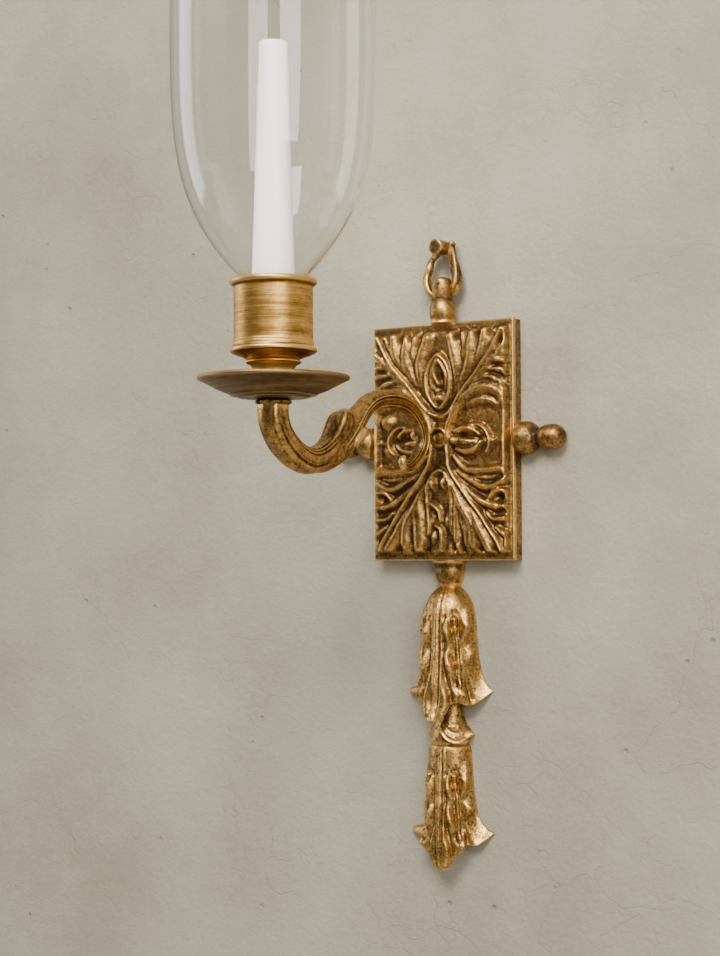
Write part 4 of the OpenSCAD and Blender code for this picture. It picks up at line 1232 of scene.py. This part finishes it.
def stage_plane(name, corners, material):
    mesh = bpy.data.meshes.new(name)
    mesh.from_pydata(corners, [], [(0, 1, 2, 3)])
    plane = bpy.data.objects.new(name, mesh)
    bpy.context.scene.collection.objects.link(plane)
    mesh.materials.append(material)


def area_light(name, at, target, size, power, colour):
    lamp = bpy.data.lights.new(name, "AREA")
    lamp.shape = "RECTANGLE"
    lamp.size, lamp.size_y = size
    lamp.energy = power
    lamp.color = colour
    holder = bpy.data.objects.new(name, lamp)
    bpy.context.scene.collection.objects.link(holder)
    holder.location = at
    direction = Vector(target) - Vector(at)
    holder.rotation_euler = direction.to_track_quat("-Z", "Y").to_euler()


def build_stage():
    half, floor_z, near_y = 2.5, -1.25, -4
    stage_plane("plaster_wall", [(-half, WALL_Y, floor_z), (half, WALL_Y, floor_z), (half, WALL_Y, half),
                                 (-half, WALL_Y, half)], plaster_material())
    stage_plane("floor", [(half, WALL_Y, floor_z), (half, near_y, floor_z), (-half, near_y, floor_z),
                          (-half, WALL_Y, floor_z)], floor_material())
    warm, cool = (1.0, 0.985, 0.96), (0.95, 0.98, 1.0)
    area_light("window_front", seen_from(16, 40, 2.2), (0, -0.02, 0), (1.2, 0.8), 68, warm)
    area_light("window_right", seen_from(52, 14, 2.3), (0, -0.05, 0), (0.85, 1.5), 28, warm)
    area_light("window_left", seen_from(-72, 12, 2.2), (0, -0.05, 0.05), (0.9, 1.7), 16, cool)
    world = bpy.data.worlds.new("room")
    bpy.context.scene.world = world
    world.use_nodes = True
    background = world.node_tree.nodes["Background"]
    background.inputs["Color"].default_value = (1.0, 0.97, 0.92, 1)
    background.inputs["Strength"].default_value = 0.12


def seen_from(azimuth, elevation, distance):
    """Place at an azimuth, elevation and distance from the middle of the plate."""
    a, e = math.radians(azimuth), math.radians(elevation)
    return (distance * math.sin(a) * math.cos(e), -distance * math.cos(a) * math.cos(e),
            distance * math.sin(e))


def build_camera():
    """Camera to the right of the sconce and a little below it, looking slightly up."""
    azimuth, pitch = math.radians(CAMERA_AZIMUTH), math.radians(CAMERA_PITCH)
    back = Vector((math.sin(azimuth) * math.cos(pitch), -math.cos(azimuth) * math.cos(pitch),
                      -math.sin(pitch)))
    right = (-back).cross(Vector((0, 0, 1))).normalized()
    up = right.cross(-back)
    roll = math.radians(CAMERA_ROLL)
    right, up = math.cos(roll) * right + math.sin(roll) * up, math.cos(roll) * up - math.sin(roll) * right
    lens = bpy.data.cameras.new("camera")
    lens.lens, lens.sensor_width = CAMERA_LENS, SENSOR
    camera = bpy.data.objects.new("camera", lens)
    bpy.context.scene.collection.objects.link(camera)
    matrix = Matrix((right, up, back)).transposed().to_4x4()
    matrix.translation = CAMERA_AT
    camera.matrix_world = matrix
    bpy.context.scene.camera = camera


relief_piece()
boss_piece()
arm_pieces()
collar_piece()
cup_pieces()
glass_piece()
candle_piece()
wick_piece()
knob_piece()
loop_piece()
peg_piece()
finial_piece(1)
finial_piece(-1)
neck_piece()
husk_pieces()
calyx_piece()
dress_cad_nodes()
build_stage()
build_camera()
